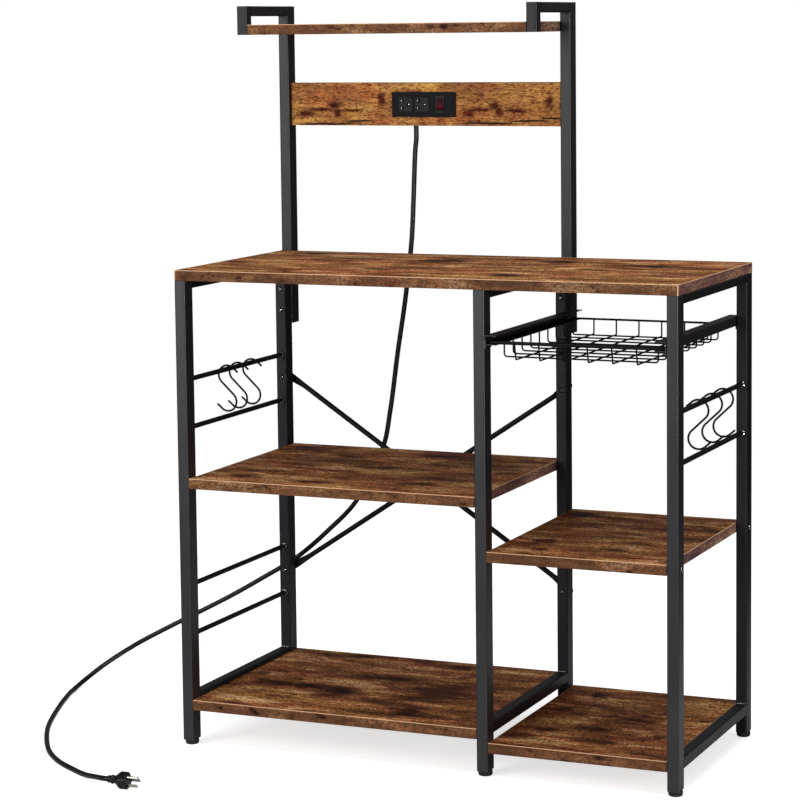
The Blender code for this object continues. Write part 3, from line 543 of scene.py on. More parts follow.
def turned(profile, foot, axis, sides):
    # Profile of (radius, height) turned about an axis through its foot
    profile = np.asarray(profile, float)[:, :, None, None]
    first, second = squareTo(axis)
    angle = fullTurn(sides)[None, :, None]
    spoke = np.cos(angle) * first + np.sin(angle) * second
    return loft(foot + profile[:, 1] * axis + profile[:, 0] * spoke)


def cornered(width, height, radius, steps=5, support=0.0006):
    # Rectangle with round corners, and a point on each side just before and after every corner,
    # which keeps the shading of the flats flat
    arc = radius * circle(np.linspace(0, np.pi / 2, steps + 1))
    arc = np.concatenate([[(radius, -support)], arc, [(-support, radius)]])
    outline = []
    for quarter, (across, rise) in enumerate(((1, 1), (-1, 1), (-1, -1), (1, -1))):
        cosine, sine = circle(quarter * np.pi / 2)
        spun = arc @ np.array([[cosine, sine], [-sine, cosine]])
        outline.append(spun + [across * (width / 2 - radius), rise * (height / 2 - radius)])
    return np.concatenate(outline)


def laid(outline, along, axis):
    # An outline's two values laid square to an axis, at one place along it
    along = np.full((len(outline), 1), along)
    order = {"X": (2, 0, 1), "Y": (0, 2, 1), "Z": (0, 1, 2)}[axis]
    return np.concatenate([outline, along], axis=1)[:, order]


def stacked(outlines, axis):
    # Pairs of an outline and its place along the axis, laid as rings
    return np.array([laid(outline, along, axis) for outline, along in outlines])


def roundedPath(corners, radius, steps=5):
    # Straight lines through the corners, each inner corner turned into an arc
    corners = np.asarray(corners, float)
    path = [corners[:1]]
    for before, corner, after in zip(corners, corners[1:], corners[2:]):
        back, onward = unit(before - corner), unit(after - corner)
        half = math.acos(np.clip(back @ onward, -1, 1)) / 2
        centre = corner + unit(back + onward) * radius / math.sin(half)
        start = corner + back * radius / math.tan(half) - centre
        end = corner + onward * radius / math.tan(half) - centre
        sweep = np.pi - 2 * half
        share = np.linspace(0, 1, steps + 1)[:, None]
        arc = np.sin((1 - share) * sweep) * start + np.sin(share * sweep) * end
        path.append(centre + arc / math.sin(sweep))
    return np.concatenate(path + [corners[-1:]])


def addPiece(name, surfaces, material, body="rack", replaced=(), sharpDegrees=35):
    # One mesh of all the surfaces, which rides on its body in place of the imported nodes
    points, faces, rims, start = [], [], [], 0
    for surfacePoints, surfaceFaces, rim in surfaces:
        points.append(surfacePoints)
        faces += [[start + corner for corner in face] for face in surfaceFaces]
        rims.append(rim)
        start += len(surfacePoints)
    mesh = bpy.data.meshes.new(name)
    mesh.from_pydata(np.concatenate(points).tolist(), [], faces)
    edge = mesh.attributes.new("rim", "FLOAT", "POINT")
    edge.data.foreach_set("value", np.concatenate(rims).astype(np.float32))
    shape = bmesh.new()
    shape.from_mesh(mesh)
    bmesh.ops.remove_doubles(shape, verts=shape.verts, dist=1e-6)
    bmesh.ops.recalc_face_normals(shape, faces=shape.faces)
    shape.to_mesh(mesh)
    shape.free()
    mesh.shade_smooth()
    mesh.set_sharp_from_angle(angle=math.radians(sharpDegrees))
    mesh.materials.append(material)
    piece = addObject(name, mesh)
    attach(piece, body)
    if replaced:
        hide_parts(*replaced)
    return piece


# Cord and plug

cordLook = {
    "diameter": 0.009,
    "lengthSamples": 220,
    "bevelSteps": 5,
    "plugHeading": math.radians(3),
    "plugRoll": math.radians(30),
    "plugNose": (0.0455, -0.2742),
    "plugLength": 0.037,
    "plugHeight": 0.01408,
    "straightExit": 3,  # diameters
    "seat": 0.0003,
}
# The same route as the part's source, from the rack's corner: it leaves the relief, hangs behind
# the rack, comes round the left rear post and lies on the floor up to the plug
cordRoute = [
    (0.2555, 0.4580, 1.0161),
    (0.2500, 0.4600, 0.9237),
    (0.2455, 0.4600, 0.8514),
    (0.2312, 0.4600, 0.7398),
    (0.2158, 0.4600, 0.6473),
    (0.1988, 0.4600, 0.5346),
    (0.1835, 0.4600, 0.4650),
    (0.1270, 0.4600, 0.3600),
    (0.0690, 0.4600, 0.3010),
    (0.0050, 0.4560, 0.2464),
    (-0.0700, 0.4490, 0.1995),
    (-0.1300, 0.4400, 0.1642),
    (-0.1900, 0.4280, 0.1318),
    (-0.2504, 0.4100, 0.0997),
    (-0.3055, 0.3830, 0.0682),
    (-0.3500, 0.3420, 0.0355),
    (-0.3706, 0.3000, 0.0128),
    (-0.3673, 0.2475, 0.0045),
    (-0.3521, 0.1975, 0.0045),
    (-0.3300, 0.1360, 0.0045),
    (-0.2802, 0.0157, 0.0045),
    (-0.2398, -0.0589, 0.0045),
    (-0.1878, -0.1361, 0.0045),
    (-0.1391, -0.1859, 0.0045),
    (-0.0784, -0.2279, 0.0045),
    (-0.0520, -0.2455, 0.0062),
    (-0.0258, -0.2616, 0.0102),
]


def smoothRoute(points, samples, lowest, between=24):
    # Centripetal spline through the points, then evenly spaced along its length
    points = np.asarray(points, float)
    ends = np.concatenate([[2 * points[0] - points[1]], points, [2 * points[-1] - points[-2]]])
    gap = np.sqrt(np.linalg.norm(np.diff(ends, axis=0), axis=1))[:, None]
    p0, p1, p2, p3 = ends[:-3], ends[1:-2], ends[2:-1], ends[3:]
    g0, g1, g2 = gap[:-2], gap[1:-1], gap[2:]
    out = g1 * ((p1 - p0) / g0 - (p2 - p0) / (g0 + g1) + (p2 - p1) / g1)
    into = g1 * ((p2 - p1) / g1 - (p3 - p1) / (g1 + g2) + (p3 - p2) / g2)
    t = np.linspace(0, 1, between, endpoint=False)[None, :, None]
    curve = (
        p1[:, None] * (2 * t**3 - 3 * t**2 + 1) + out[:, None] * (t**3 - 2 * t**2 + t)
        + p2[:, None] * (3 * t**2 - 2 * t**3) + into[:, None] * (t**3 - t**2)
    )
    curve = np.concatenate([curve.reshape(-1, 3), points[-1:]])
    curve[:, 2] = np.maximum(curve[:, 2], lowest)
    length = np.concatenate([[0], np.cumsum(np.linalg.norm(np.diff(curve, axis=0), axis=1))])
    wanted = np.linspace(0, length[-1], samples)
    return np.stack([np.interp(wanted, length, curve[:, axis]) for axis in range(3)], axis=1)


def makeCord(look):
    box = span("strain_relief")
    exitPoint = np.array([*box.middle[:2], box.low[2] - look["seat"]])
    forward = np.array([*circle(look["plugHeading"]), 0])
    nose = fromCorner(*look["plugNose"], look["plugHeight"])
    cordEnd = nose - forward * (look["plugLength"] + look["seat"])
    route = [exitPoint, exitPoint - [0, 0, look["straightExit"] * look["diameter"]]]
    route += [fromCorner(*point) for point in cordRoute]
    route.append(cordEnd - forward * look["diameter"])
    path = np.concatenate([smoothRoute(route, look["lengthSamples"], look["diameter"] / 2), [cordEnd]])
    length = np.linalg.norm(np.diff(path, axis=0), axis=1).sum()
    curve = bpy.data.curves.new("cord", "CURVE")
    curve.dimensions = "3D"
    curve.bevel_depth = look["diameter"] / 2
    curve.bevel_resolution = look["bevelSteps"]
    curve.use_fill_caps = True
    spline = curve.splines.new("POLY")
    spline.points.add(len(path) - 1)
    spline.points.foreach_set("co", np.concatenate([path, np.ones((len(path), 1))], axis=1).ravel())
    spline.use_smooth = True
    curve.materials.append(cordRubber)
    cord = addObject("mains_cord", curve)
    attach(cord, "rack")
    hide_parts("power_cord")
    print(f"cord {length:.3f} m")
    return cord, exitPoint, length, nose, forward


reliefLook = {
    "topDiameter": 0.0145, "tipDiameter": 0.0105, "ribs": 6, "ribDepth": 0.0006,
    "collar": 0.18, "plainTip": 0.97,  # shares of the length
}


def makeRelief(look):
    # Tapered sleeve whose radius is a straight taper less a row of grooves
    box = span("strain_relief")
    share = np.linspace(0, 1, 91)
    taper = np.clip((share - look["collar"]) / (1 - look["collar"]), 0, 1)
    radius = (look["topDiameter"] + (look["tipDiameter"] - look["topDiameter"]) * taper) / 2
    groove = np.clip(np.sin(taper * look["ribs"] * 2 * np.pi), 0, 1) * look["ribDepth"]
    groove[share > look["plainTip"]] = 0
    profile = np.stack([radius - groove, share * box.size[2]], axis=1)
    top = (*box.middle[:2], box.high[2])
    return addPiece(
        "ribbed_relief", [turned(profile, top, (0, 0, -1), 36)], mouldedAbs,
        replaced=["strain_relief"],
    )


# Flare, nose and dip are placed by shares of the body's length, collar and ribs by shares of the tail's
plugLook = {
    "tailRadius": 0.00625,
    "tailLength": 0.011,
    "collarRadius": 0.00775,
    "collarPlace": 0.72,
    "collarSpread": 0.22,
    "ribs": 4,
    "ribDepth": 0.0005,
    "ribsEnd": 0.5,
    "width": 0.025,
    "height": 0.024,
    "flareEnd": 0.5,
    "squareness": 3.8,
    "noseInset": 0.0018,
    "noseStart": 0.9,
    "dip": 0.0022,
    "dipPlace": 0.62,
    "dipSpread": 0.16,
    "dipHeight": 0.42,
}


def makePlug(look, nose, forward):
    # Superellipse carried from the tail to the nose: round and ribbed at the tail, then a flare
    # to a squarish body with a thumb hollow on both sides; the whole plug lies rolled on the floor
    length, tailLength = cordLook["plugLength"], look["tailLength"]
    along = np.concatenate([np.linspace(0, tailLength, 30), np.linspace(tailLength, length, 44)[1:]])
    body = np.clip((along - tailLength) / (length - tailLength), 0, 1)
    flare = eased(body / look["flareEnd"])
    collar = np.exp(-((along / tailLength - look["collarPlace"]) / look["collarSpread"]) ** 2)
    tail = look["tailRadius"] + (look["collarRadius"] - look["tailRadius"]) * collar
    ribs = look["ribDepth"] * np.clip(np.sin(along / tailLength * look["ribs"] * 2 * np.pi), 0, 1)
    tail = tail - ribs * (along < tailLength * look["ribsEnd"])
    noseEase = look["noseInset"] * np.clip((body - look["noseStart"]) / (1 - look["noseStart"]), 0, 1) ** 2
    dip = look["dip"] * np.exp(-((body - look["dipPlace"]) / look["dipSpread"]) ** 2)
    halfWidth = tail + (look["width"] / 2 - tail) * flare - noseEase
    halfHeight = tail + (look["height"] / 2 - tail) * flare - noseEase
    power = 2 / (2 + (look["squareness"] - 2) * flare)
    cosine, sine = circle(fullTurn(48)).T
    across = halfWidth[:, None] * np.sign(cosine) * np.abs(cosine) ** power[:, None]
    rise = halfHeight[:, None] * np.sign(sine) * np.abs(sine) ** power[:, None]
    hollow = np.clip(1 - np.abs(rise) / (look["height"] * look["dipHeight"]), 0, 1)
    across -= np.sign(across) * dip[:, None] * hollow
    level, up = np.array([-forward[1], forward[0], 0]), np.array([0, 0, 1])
    cosine, sine = circle(cordLook["plugRoll"])
    rings = (
        nose + (along - length)[:, None, None] * forward + across[..., None] * (cosine * level + sine * up)
        + rise[..., None] * (cosine * up - sine * level)
    )
    return addPiece("moulded_plug", [loft(rings)], cordRubber, replaced=["power_plug"])


cord, exitPoint, cordLength, plugNose, plugForward = makeCord(cordLook)
relief = makeRelief(reliefLook)
plug = makePlug(plugLook, plugNose, plugForward)
print("cord and plug made")


# Tubes

tubeLook = {"corner": 0.0024, "wall": 0.0012, "footPlate": 0.004, "footBore": 0.0033}


def tubeOutlines(width, height, look):
    # The outer outline, and the inner one a wall further in
    return [
        cornered(width - 2 * inset, height - 2 * inset, look["corner"] - inset) for inset in (0, look["wall"])
    ]


def tubeSurface(node, axis, capped, look):
    # Both outlines at both ends; a capped tube is closed at its far end
    box, index = span(node), "XYZ".index(axis)
    outer, inner = tubeOutlines(*np.delete(box.size, index), look)
    start, end = -box.size[index] / 2, box.size[index] / 2
    rings = [(inner, end - look["wall"] if capped else end), (inner, start), (outer, start), (outer, end)]
    return loft(box.middle + stacked(rings, axis), closeRows=not capped)


def postSurface(node, look):
    # Open tube whose foot end is a plate with a round bore
    box = span(node)
    outer, inner = tubeOutlines(*box.size[:2], look)
    bore = look["footBore"] * unit(inner)
    bottom, top = -box.size[2] / 2, box.size[2] / 2
    plate = bottom + look["footPlate"]
    rings = [(outer, bottom), (outer, top), (inner, top), (inner, plate), (bore, plate), (bore, bottom)]
    return loft(box.middle + stacked(rings, "Z"), closeRows=True)


def makeTubes(look):
    tubes = []
    # Rear posts, rails, drops and the raised frame take the copies of the coat that mirror less, as painted
    # shade
    for side in rackSides:
        for end, coat in (("front", powderCoat), ("rear", shadedRearCoat)):
            node = f"{end}_{side}_post"
            tubes.append((node, postSurface(node, look), coat))
        for level in ("top", "bottom"):
            node = f"{side}_{level}_rail"
            tubes.append((node, tubeSurface(node, "Y", False, look), shadedRearCoat))
    for side in ("left", "right"):
        for kind, axis, capped, coat in (
            ("upright", "Z", True, shadedRaisedCoat), ("arm", "Y", False, shadedRaisedCoat), ("drop", "Z", True, shadedRearCoat),
        ):
            node = f"raised_{side}_{kind}"
            tubes.append((node, tubeSurface(node, axis, capped, look), coat))
    for node, surface, coat in tubes:
        addPiece(f"{node}_tube", [surface], coat, replaced=[node])


makeTubes(tubeLook)
print("tubes made")


# Boards

boardLook = {
    "easing": 0.0009, "rim": 0.0024, "edgeWearAndHighlight": 0.7, "corner": 0.0012, "cornerSteps": 3, "windowGap": 0.001,
}


def boardEdge(look, thickness):
    # Profile across a board's edge, as (inset, height, rim): the rim fades out on both faces
    ease, rim, rimPeak = look["easing"], look["rim"], look["edgeWearAndHighlight"]
    bend = ease * (1 - math.sqrt(0.5))
    lower = [(rim, 0, 0), (ease, 0, rimPeak), (bend, bend, 1), (0, ease, rimPeak), (0, rim, 0)]
    return lower + [(inset, thickness - height, value) for inset, height, value in reversed(lower)]


def boardRings(node, axis, look):
    # The board's outline at each step of its edge, and how pale the rim is there, partly from rubbing
    # and partly as painted highlight
    box, index = span(node), "XYZ".index(axis)
    width, depth = np.delete(box.size, index)
    thickness = box.size[index]
    rings, rims = [], []
    for inset, height, value in boardEdge(look, thickness):
        outline = cornered(
            width - 2 * inset, depth - 2 * inset, look["corner"], look["cornerSteps"], look["rim"]
        )
        rings.append(laid(outline, height - thickness / 2, axis) + box.middle)
        # The upper edge is pale all round, and the desktop's four corners from top to bottom:
        # rubbed foil and painted highlight
        corner = np.tile([0, 1, 1, 1, 1, 0], 4) * (node == "desktop" and 0 < height < thickness)
        rims.append(np.maximum(value if height > thickness / 2 else 0, corner))
    return rings, np.array(rims)


def panelSurface(look):
    # The same edge all round the upright panel, with no pale rim, and the window for the socket unit
    rings, _ = boardRings("outlet_panel", "Y", look)
    panel, housing = span("outlet_panel"), span("outlet_housing")
    gap = 2 * look["windowGap"]
    hole = cornered(housing.size[0] + gap, housing.size[2] + gap, look["corner"], look["cornerSteps"])
    for y in (panel.high[1], panel.low[1]):
        rings.append(laid(hole + housing.middle[[0, 2]], y, "Y"))
    return loft(rings, closeRows=True)


def makeBoards(look):
    for node in ("desktop", "left_shelf", "right_shelf", "bottom_left_shelf", "bottom_right_shelf", "top_shelf"):
        foilKind = deskLook if node == "desktop" else foilLook
        foil = makeFoilBoard(f"old_oak_foil_{node}", foilKind, boardMarks.get(node, {}))
        rings, rims = boardRings(node, "Z", look)
        addPiece(f"{node}_board", [loft(rings, rim=rims)], foil, replaced=[node])
    foil = makeFoilBoard("old_oak_foil_panel", uprightLook, boardMarks["outlet_panel"], upright=True)
    addPiece("back_panel_board", [panelSurface(look)], foil, replaced=["outlet_panel"])


makeBoards(boardLook)
print("boards made")


# Rungs, braces and weld beads

weldLook = {
    "radius": 0.0014, "ripple": 0.18, "ripplesPerMetre": 260.0, "railInset": 0.003,
    "ringRadius": 0.0021, "ringRipple": 0.15, "ringRipples": 9, "ringInset": 0.0008,
}


def beadLine(start, end, look):
    # Short bead: a rod with round ends whose radius ripples along it
    path, radii = roundEnds(np.linspace(start, end, 28), look["radius"])
    along = np.linalg.norm(path - path[0], axis=1)
    radii = radii * (1 + look["ripple"] * np.sin(along * look["ripplesPerMetre"] * 2 * np.pi))
    return carried(path, radii, (0, 0, 1), 10)


def beadRing(centre, radius, look):
    # Bead round a rung where it meets a post: a ring about Y with a rippled tube
    turn, around = fullTurn(48)[:, None], fullTurn(8)[None, :]
    thick = look["ringRadius"] * (1 + look["ringRipple"] * np.sin(turn * look["ringRipples"]))
    reach = radius + thick * np.cos(around)
    ring = np.stack([reach * np.cos(turn), thick * np.sin(around), reach * np.sin(turn)], axis=-1)
    return loft(centre + ring, closeRows=True)


def makeRungs(look):
    beads = []
    rungs = [f"left_{place}_rung" for place in ("hook", "second", "third", "fourth")]
    for node in rungs + ["right_hook_rung", "right_second_rung"]:
        rung = span(node)
        (x, _, z), front, back = rung.middle, rung.low[1], rung.high[1]
        radius = rung.size[0] / 2
        rod = carried(np.linspace((x, front, z), (x, back, z), 12), radius, (1, 0, 0), 24)
        addPiece(f"{node}_rod", [rod], shadedRodCoat, replaced=[node])
        ends = (front + look["ringInset"], back - look["ringInset"])
        beads += [beadRing((x, y, z), radius, look) for y in ends]
    for side in rackSides:
        for level in ("top", "bottom"):
            rail = span(f"{side}_{level}_rail")
            left, right = rail.low[0] + look["railInset"], rail.high[0] - look["railInset"]
            heights = (rail.low[2],) if level == "top" else (rail.low[2], rail.high[2])
            for y in (rail.low[1], rail.high[1]):
                beads += [beadLine((left, y, z), (right, y, z), look) for z in heights]
    addPiece("weld_beads", beads, beadCoat)


# The rods are drawn as thick as the photo shows them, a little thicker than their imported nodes
braceLook = {
    "diameter": 0.0095, "tabWidth": 0.014, "tabThickness": 0.0025, "tabLength": 0.022, "neckLength": 0.030,
    "left": 0.010, "right": 0.560, "back": 0.4203, "high": 0.598, "low": 0.234, "step": 0.0098,
}


def braceSurface(look, start, end, backStep):
    # Round rod pressed flat at both ends: width, thickness and offset ease from tab to rod
    length, axis = np.linalg.norm(end - start), unit(end - start)
    across = np.cross([0, 1, 0], axis)
    halfTab = look["tabLength"] / 2
    half = np.concatenate([
        -halfTab * np.cos(np.linspace(0.1, np.pi / 2, 9)), np.linspace(0, halfTab, 4)[1:],
        halfTab + look["neckLength"] * np.linspace(0, 1, 14)[1:],
    ])
    ease = eased((half - halfTab) / look["neckLength"])
    tip = np.sqrt(np.clip(1 - (np.minimum(half, 0) / halfTab) ** 2, 0.01, 1))
    width = (look["tabWidth"] + (look["diameter"] - look["tabWidth"]) * ease) * tip
    thick = look["tabThickness"] + (look["diameter"] - look["tabThickness"]) * ease
    lift = thick / 2 + backStep * ease
    along = np.concatenate([half, length - half[::-1]])
    width, thick, lift = (np.concatenate([a, a[::-1]])[:, None] for a in (width, thick, lift))
    cosine, sine = circle(fullTurn(20)).T
    return loft(
        start + along[:, None, None] * axis + (width / 2 * cosine)[..., None] * across
        + (lift + thick / 2 * sine)[..., None] * np.array([0, 1, 0])
    )


def makeBraces(look):
    for end, first, second, step in (("front", "left", "right", 0), ("rear", "right", "left", look["step"])):
        start = fromCorner(look[first], look["back"], look["high"])
        finish = fromCorner(look[second], look["back"], look["low"])
        brace = braceSurface(look, start, finish, step)
        addPiece(f"{end}_brace_rod", [brace], shadedRodCoat, replaced=[f"{end}_brace"])


makeRungs(weldLook)
makeBraces(braceLook)
print("rungs and braces made")


# Feet

footLook = {
    "radius": 0.012, "rounding": 0.0036, "grooveDepth": 0.0006, "grooveHeights": (0.58, 0.62, 0.70, 0.74),
    "edge": 0.0006, "stemRadius": 0.003, "gap": 0.0003,
}


def makeFeet(look):
    # Turned profile: eased rim below, a shallow groove round the side, and the stem in the post
    radius, rounding, depth = look["radius"], look["rounding"], look["grooveDepth"]
    edge, stem = look["edge"], look["stemRadius"]
    for side in rackSides:
        for end in ("front", "rear"):
            node = f"{end}_{side}_foot"
            box = span(node)
            height, top = span(f"{end}_{side}_post").low[2] - look["gap"], box.high[2]
            profile = [(poleRadius, 0)]
            for angle in np.linspace(0, np.pi / 2, 8):
                profile.append((radius - rounding * (1 - math.sin(angle)), rounding * (1 - math.cos(angle))))
            for inset, share in zip((0, depth, depth, 0), look["grooveHeights"]):
                profile.append((radius - inset, height * share))
            profile += [(radius, height - edge), (radius - edge, height)]
            profile += [(stem, height), (stem, top - edge), (stem - edge, top), (poleRadius, top)]
            foot = turned(profile, (*box.middle[:2], 0), (0, 0, 1), 40)
            addPiece(
                f"{node}_glide", [foot], footPlastic, body=f"foot_{end}_{side}",
                replaced=[node], sharpDegrees=40,
            )


makeFeet(footLook)
print("feet made")


# Wire basket

basketLook = {
    "wire": 0.0028, "rimWire": 0.0038, "bar": 0.006, "drop": 0.0245, "front": 0.004, "back": 0.392,
    "left": 0.5778, "right": 0.8722, "wallLeft": 0.5930, "wallRight": 0.8570, "rimHeight": 0.7254,
    "firstCross": 0.031, "crossPitch": 0.041, "crossCount": 9, "firstLong": 0.6213, "longPitch": 0.04148,
    "longCount": 6, "toe": 0.010, "bend": 0.005, "weld": 0.0008,
}


def makeBasket(look):
    # Front bar, three rims, cross wires bent down at both sides, and long wires turned up at both ends
    left, right, front, back, rim = (look[key] for key in ("left", "right", "front", "back", "rimHeight"))
    wallLeft, wallRight, floor = look["wallLeft"], look["wallRight"], rim - look["drop"]
    longFloor = floor - look["wire"] + look["weld"]
    halfRim, halfWire = look["rimWire"] / 2, look["wire"] / 2
    barHeight = rim + (look["bar"] - look["rimWire"]) / 2
    surfaces = []
    for start, end, radius in (
        ((left, front, barHeight), (right, front, barHeight), look["bar"] / 2),
        ((left, front, rim), (left, back, rim), halfRim),
        ((right, front, rim), (right, back, rim), halfRim),
        ((left - halfRim, back, rim), (right + halfRim, back, rim), halfRim),
    ):
        path, radii = roundEnds(np.linspace(fromCorner(*start), fromCorner(*end), 12), radius)
        surfaces.append(carried(path, radii, (0, 0, 1), 20))
    wires = []
    for index in range(look["crossCount"]):
        y = look["firstCross"] + index * look["crossPitch"]
        across = ((left, rim), (wallLeft, rim), (wallLeft, floor))
        across += ((wallRight, floor), (wallRight, rim), (right, rim))
        wires.append(([(x, y, z) for x, z in across], look["bend"], (0, 1, 0)))
    for index in range(look["longCount"]):
        x = look["firstLong"] + index * look["longPitch"]
        along = ((front, rim), (look["toe"], longFloor), (back, longFloor), (back, rim))
        wires.append(([(x, y, z) for y, z in along], look["wire"], (1, 0, 0)))
    for corners, bend, normal in wires:
        path = roundedPath([fromCorner(*corner) for corner in corners], bend)
        surfaces.append(carried(path, halfWire, normal, 14))
    addPiece("welded_wire_basket", surfaces, shadedWireCoat, body="basket", replaced=["wire_basket"])


makeBasket(basketLook)
print("basket made")


# S-hooks

hookLook = {
    "wire": 0.0036, "bendRadius": 0.0172, "height": 0.0852, "tail": 0.013, "tailFall": math.radians(40),
    "seat": 0.0003, "rungRadius": 0.0045,
    # Across, rung height, places from front to back, and the way that the upper tail points
    "left": (0.010, 0.6387, (0.173, 0.215, 0.268), 1),
    "right": (0.890, 0.6217, (0.139, 0.216, 0.280), -1),
}


def hookPath(look, turn):
    # Two equal arcs joined by a slanting shank, the second a half turn of the first
    radius = look["bendRadius"]
    upper = look["rungRadius"] + look["seat"] + look["wire"] / 2 - radius
    drop = look["height"] - look["wire"] - 2 * radius
    slant = math.asin(2 * radius / drop)
    arc = radius * circle(np.linspace(np.pi / 2 - look["tailFall"], np.pi + slant, 28))
    lead = np.linspace(1, 0, 5, endpoint=False)[:, None] * look["tail"]
    half = np.concatenate([arc[0] + lead * circle(-look["tailFall"]), arc])
    path = np.concatenate([half + [0, upper], [0, upper - drop] - half[::-1]])
    return np.stack([turn * path[:, 0], np.zeros(len(path)), path[:, 1]], axis=1)


def makeHooks(look):
    for side in ("left", "right"):
        x, height, places, turn = look[side]
        for end, y in zip(("front", "middle", "rear"), places):
            path, radii = roundEnds(hookPath(look, turn) + fromCorner(x, y, height), look["wire"] / 2)
            addPiece(
                f"{side}_{end}_s_hook", [carried(path, radii, (0, 1, 0))], shadedWireCoat,
                body=f"{side}_{end}_hook", replaced=[f"{side}_hook_{end}"],
            )


makeHooks(hookLook)
print("hooks made")


# Socket unit

contactLook = {
    "width": 0.0010, "height": 0.0014, "depth": 0.0035, "edge": 0.0002, "pinRadius": 0.0011,
    "pinEasing": 0.3, "inset": 0.0012, "shift": 0.0028, "slotSpacing": 0.0127, "holeOffset": 0.0119,
}


def makeContacts(look):
    # Spring contacts that shine at the left end of each slot and in each round hole
    radius, depth = look["pinRadius"], look["depth"]
    ease = radius * look["pinEasing"]
    profile = [(poleRadius, 0), (radius - ease, 0), (radius, ease), (radius, depth), (poleRadius, depth)]
    outline = cornered(look["width"], look["height"], look["edge"], 2, look["edge"] / 2)
    contacts = []
    for node in ("first_socket", "second_socket"):
        box = span(node)
        y, z = box.low[1] + look["inset"], box.middle[2]
        slotX = box.middle[0] - look["holeOffset"] / 2
        for side in (1, -1):
            centre = (slotX - look["shift"], y, z + side * look["slotSpacing"] / 2)
            contacts.append(loft(centre + stacked([(outline, 0), (outline, depth)], "Y")))
        contacts.append(turned(profile, (slotX + look["holeOffset"], y, z), (0, 1, 0), 20))
    addPiece("socket_contacts", contacts, platedBrass)


rockerLook = {
    "width": 0.0108, "height": 0.0205, "valley": 0.0006, "depth": 0.0085, "tilt": math.radians(-8),
    "edge": 0.0004, "endShrink": 0.97, "hollowing": 1.25,
}


def makeRocker(look):
    # Ends are arcs about the rocker's axis and the face is a shallow curved V;
    # the outline is carried across the width and drawn in a little at both ends
    switch = span("switch_frame")
    pivot = np.array([switch.middle[0], switch.low[1], switch.middle[2]])
    radius, valley = look["height"] / 2, look["valley"]
    rise = valley + radius * math.tan(abs(look["tilt"]))
    angle = np.linspace(math.asin(rise / radius), -math.asin(look["depth"] / (2 * radius)), 14)
    upper = np.stack([-radius * np.sin(angle), radius * np.cos(angle)], axis=1)
    height = np.linspace(-upper[0, 1], upper[0, 1], 25)[1:-1]
    face = -valley - (rise - valley) * (np.abs(height) / upper[0, 1]) ** look["hollowing"]
    outline = np.concatenate([np.stack([face, height], axis=1), upper, upper[::-1] * [1, -1]])
    cosine, sine = circle(look["tilt"])
    outline = outline @ np.array([[cosine, sine], [-sine, cosine]])
    half, shrink = look["width"] / 2, look["endShrink"]
    rings = [(outline * shrink, -half), (outline, look["edge"] - half)]
    rings += [(outline, half - look["edge"]), (outline * shrink, half)]
    addPiece(
        "lit_rocker", [loft(pivot + stacked(rings, "X"))], redLens, body="rocker",
        replaced=["switch_rocker"], sharpDegrees=50,
    )


makeContacts(contactLook)
makeRocker(rockerLook)
print("socket unit made")


# Bolts

boltLook = {
    "headRadius": 0.0048, "domeDegrees": (15, 30, 45), "domeBulge": 0.8, "footHeight": 0.00005,
    "socket": 0.0020, "socketRim": 0.0025, "socketDepth": 0.0016,
    "rows": [
        # Way faced, places across, to the back and up, and the head's height
        ((0, -1, 0), (0.010, 0.560), (0.390,), (0.761, 0.722, 0.597, 0.235), 0.0028),
        ((-1, 0, 0), (0,), (0.0165, 0.405), (0.461,), 0.0028),
        ((1, 0, 0), (0.900,), (0.0165, 0.405), (0.371,), 0.0028),
        ((1, 0, 0), (0.5722,), (0.042, 0.378), (0.7302,), 0.0018),
        ((-1, 0, 0), (0.8778,), (0.042, 0.378), (0.7302,), 0.0018),
    ],
}


def boltSurface(centre, facing, headHeight, look):
    # Button head: a low dome turned about its axis, then a six-sided recess
    radius = look["headRadius"]
    profile = [(radius, look["footHeight"])]
    for angle in np.radians(look["domeDegrees"]):
        profile.append((radius * math.cos(angle), headHeight * math.sin(angle) ** look["domeBulge"]))
    profile.append((look["socketRim"], headHeight))
    points, _, _ = turned(profile, centre, facing, 24)
    first, second = squareTo(facing)
    turn, sixth = fullTurn(24)[:, None], np.pi / 3
    hexagon = look["socket"] / np.cos((turn + sixth / 2) % sixth - sixth / 2)
    hexagon = centre + hexagon * (np.cos(turn) * first + np.sin(turn) * second)
    recess = [hexagon + height * np.array(facing) for height in (headHeight, headHeight - look["socketDepth"])]
    return loft(np.concatenate([points.reshape(-1, 24, 3), recess]))


def makeBolts(look):
    bolts = []
    for facing, across, back, up, headHeight in look["rows"]:
        places = [fromCorner(x, y, z) for x in across for y in back for z in up]
        bolts += [boltSurface(place, facing, headHeight, look) for place in places]
    addPiece("button_head_bolts", bolts, blackZinc)


makeBolts(boltLook)
print("bolts made")


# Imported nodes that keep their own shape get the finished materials

for node, material in {
    "left_runner": powderCoat,
    "right_runner": powderCoat,
    "outlet_housing": mouldedAbs,
    "outlet_plate": mouldedAbs,
    "first_socket": socketPlastic,
    "second_socket": socketPlastic,
    "switch_frame": socketPlastic,
    "live_blade": platedBrass,
    "neutral_blade": platedBrass,
    "earth_pin": platedBrass,
}.items():
    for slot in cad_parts[node].material_slots:
        slot.material = material


# Floor, lamps and world

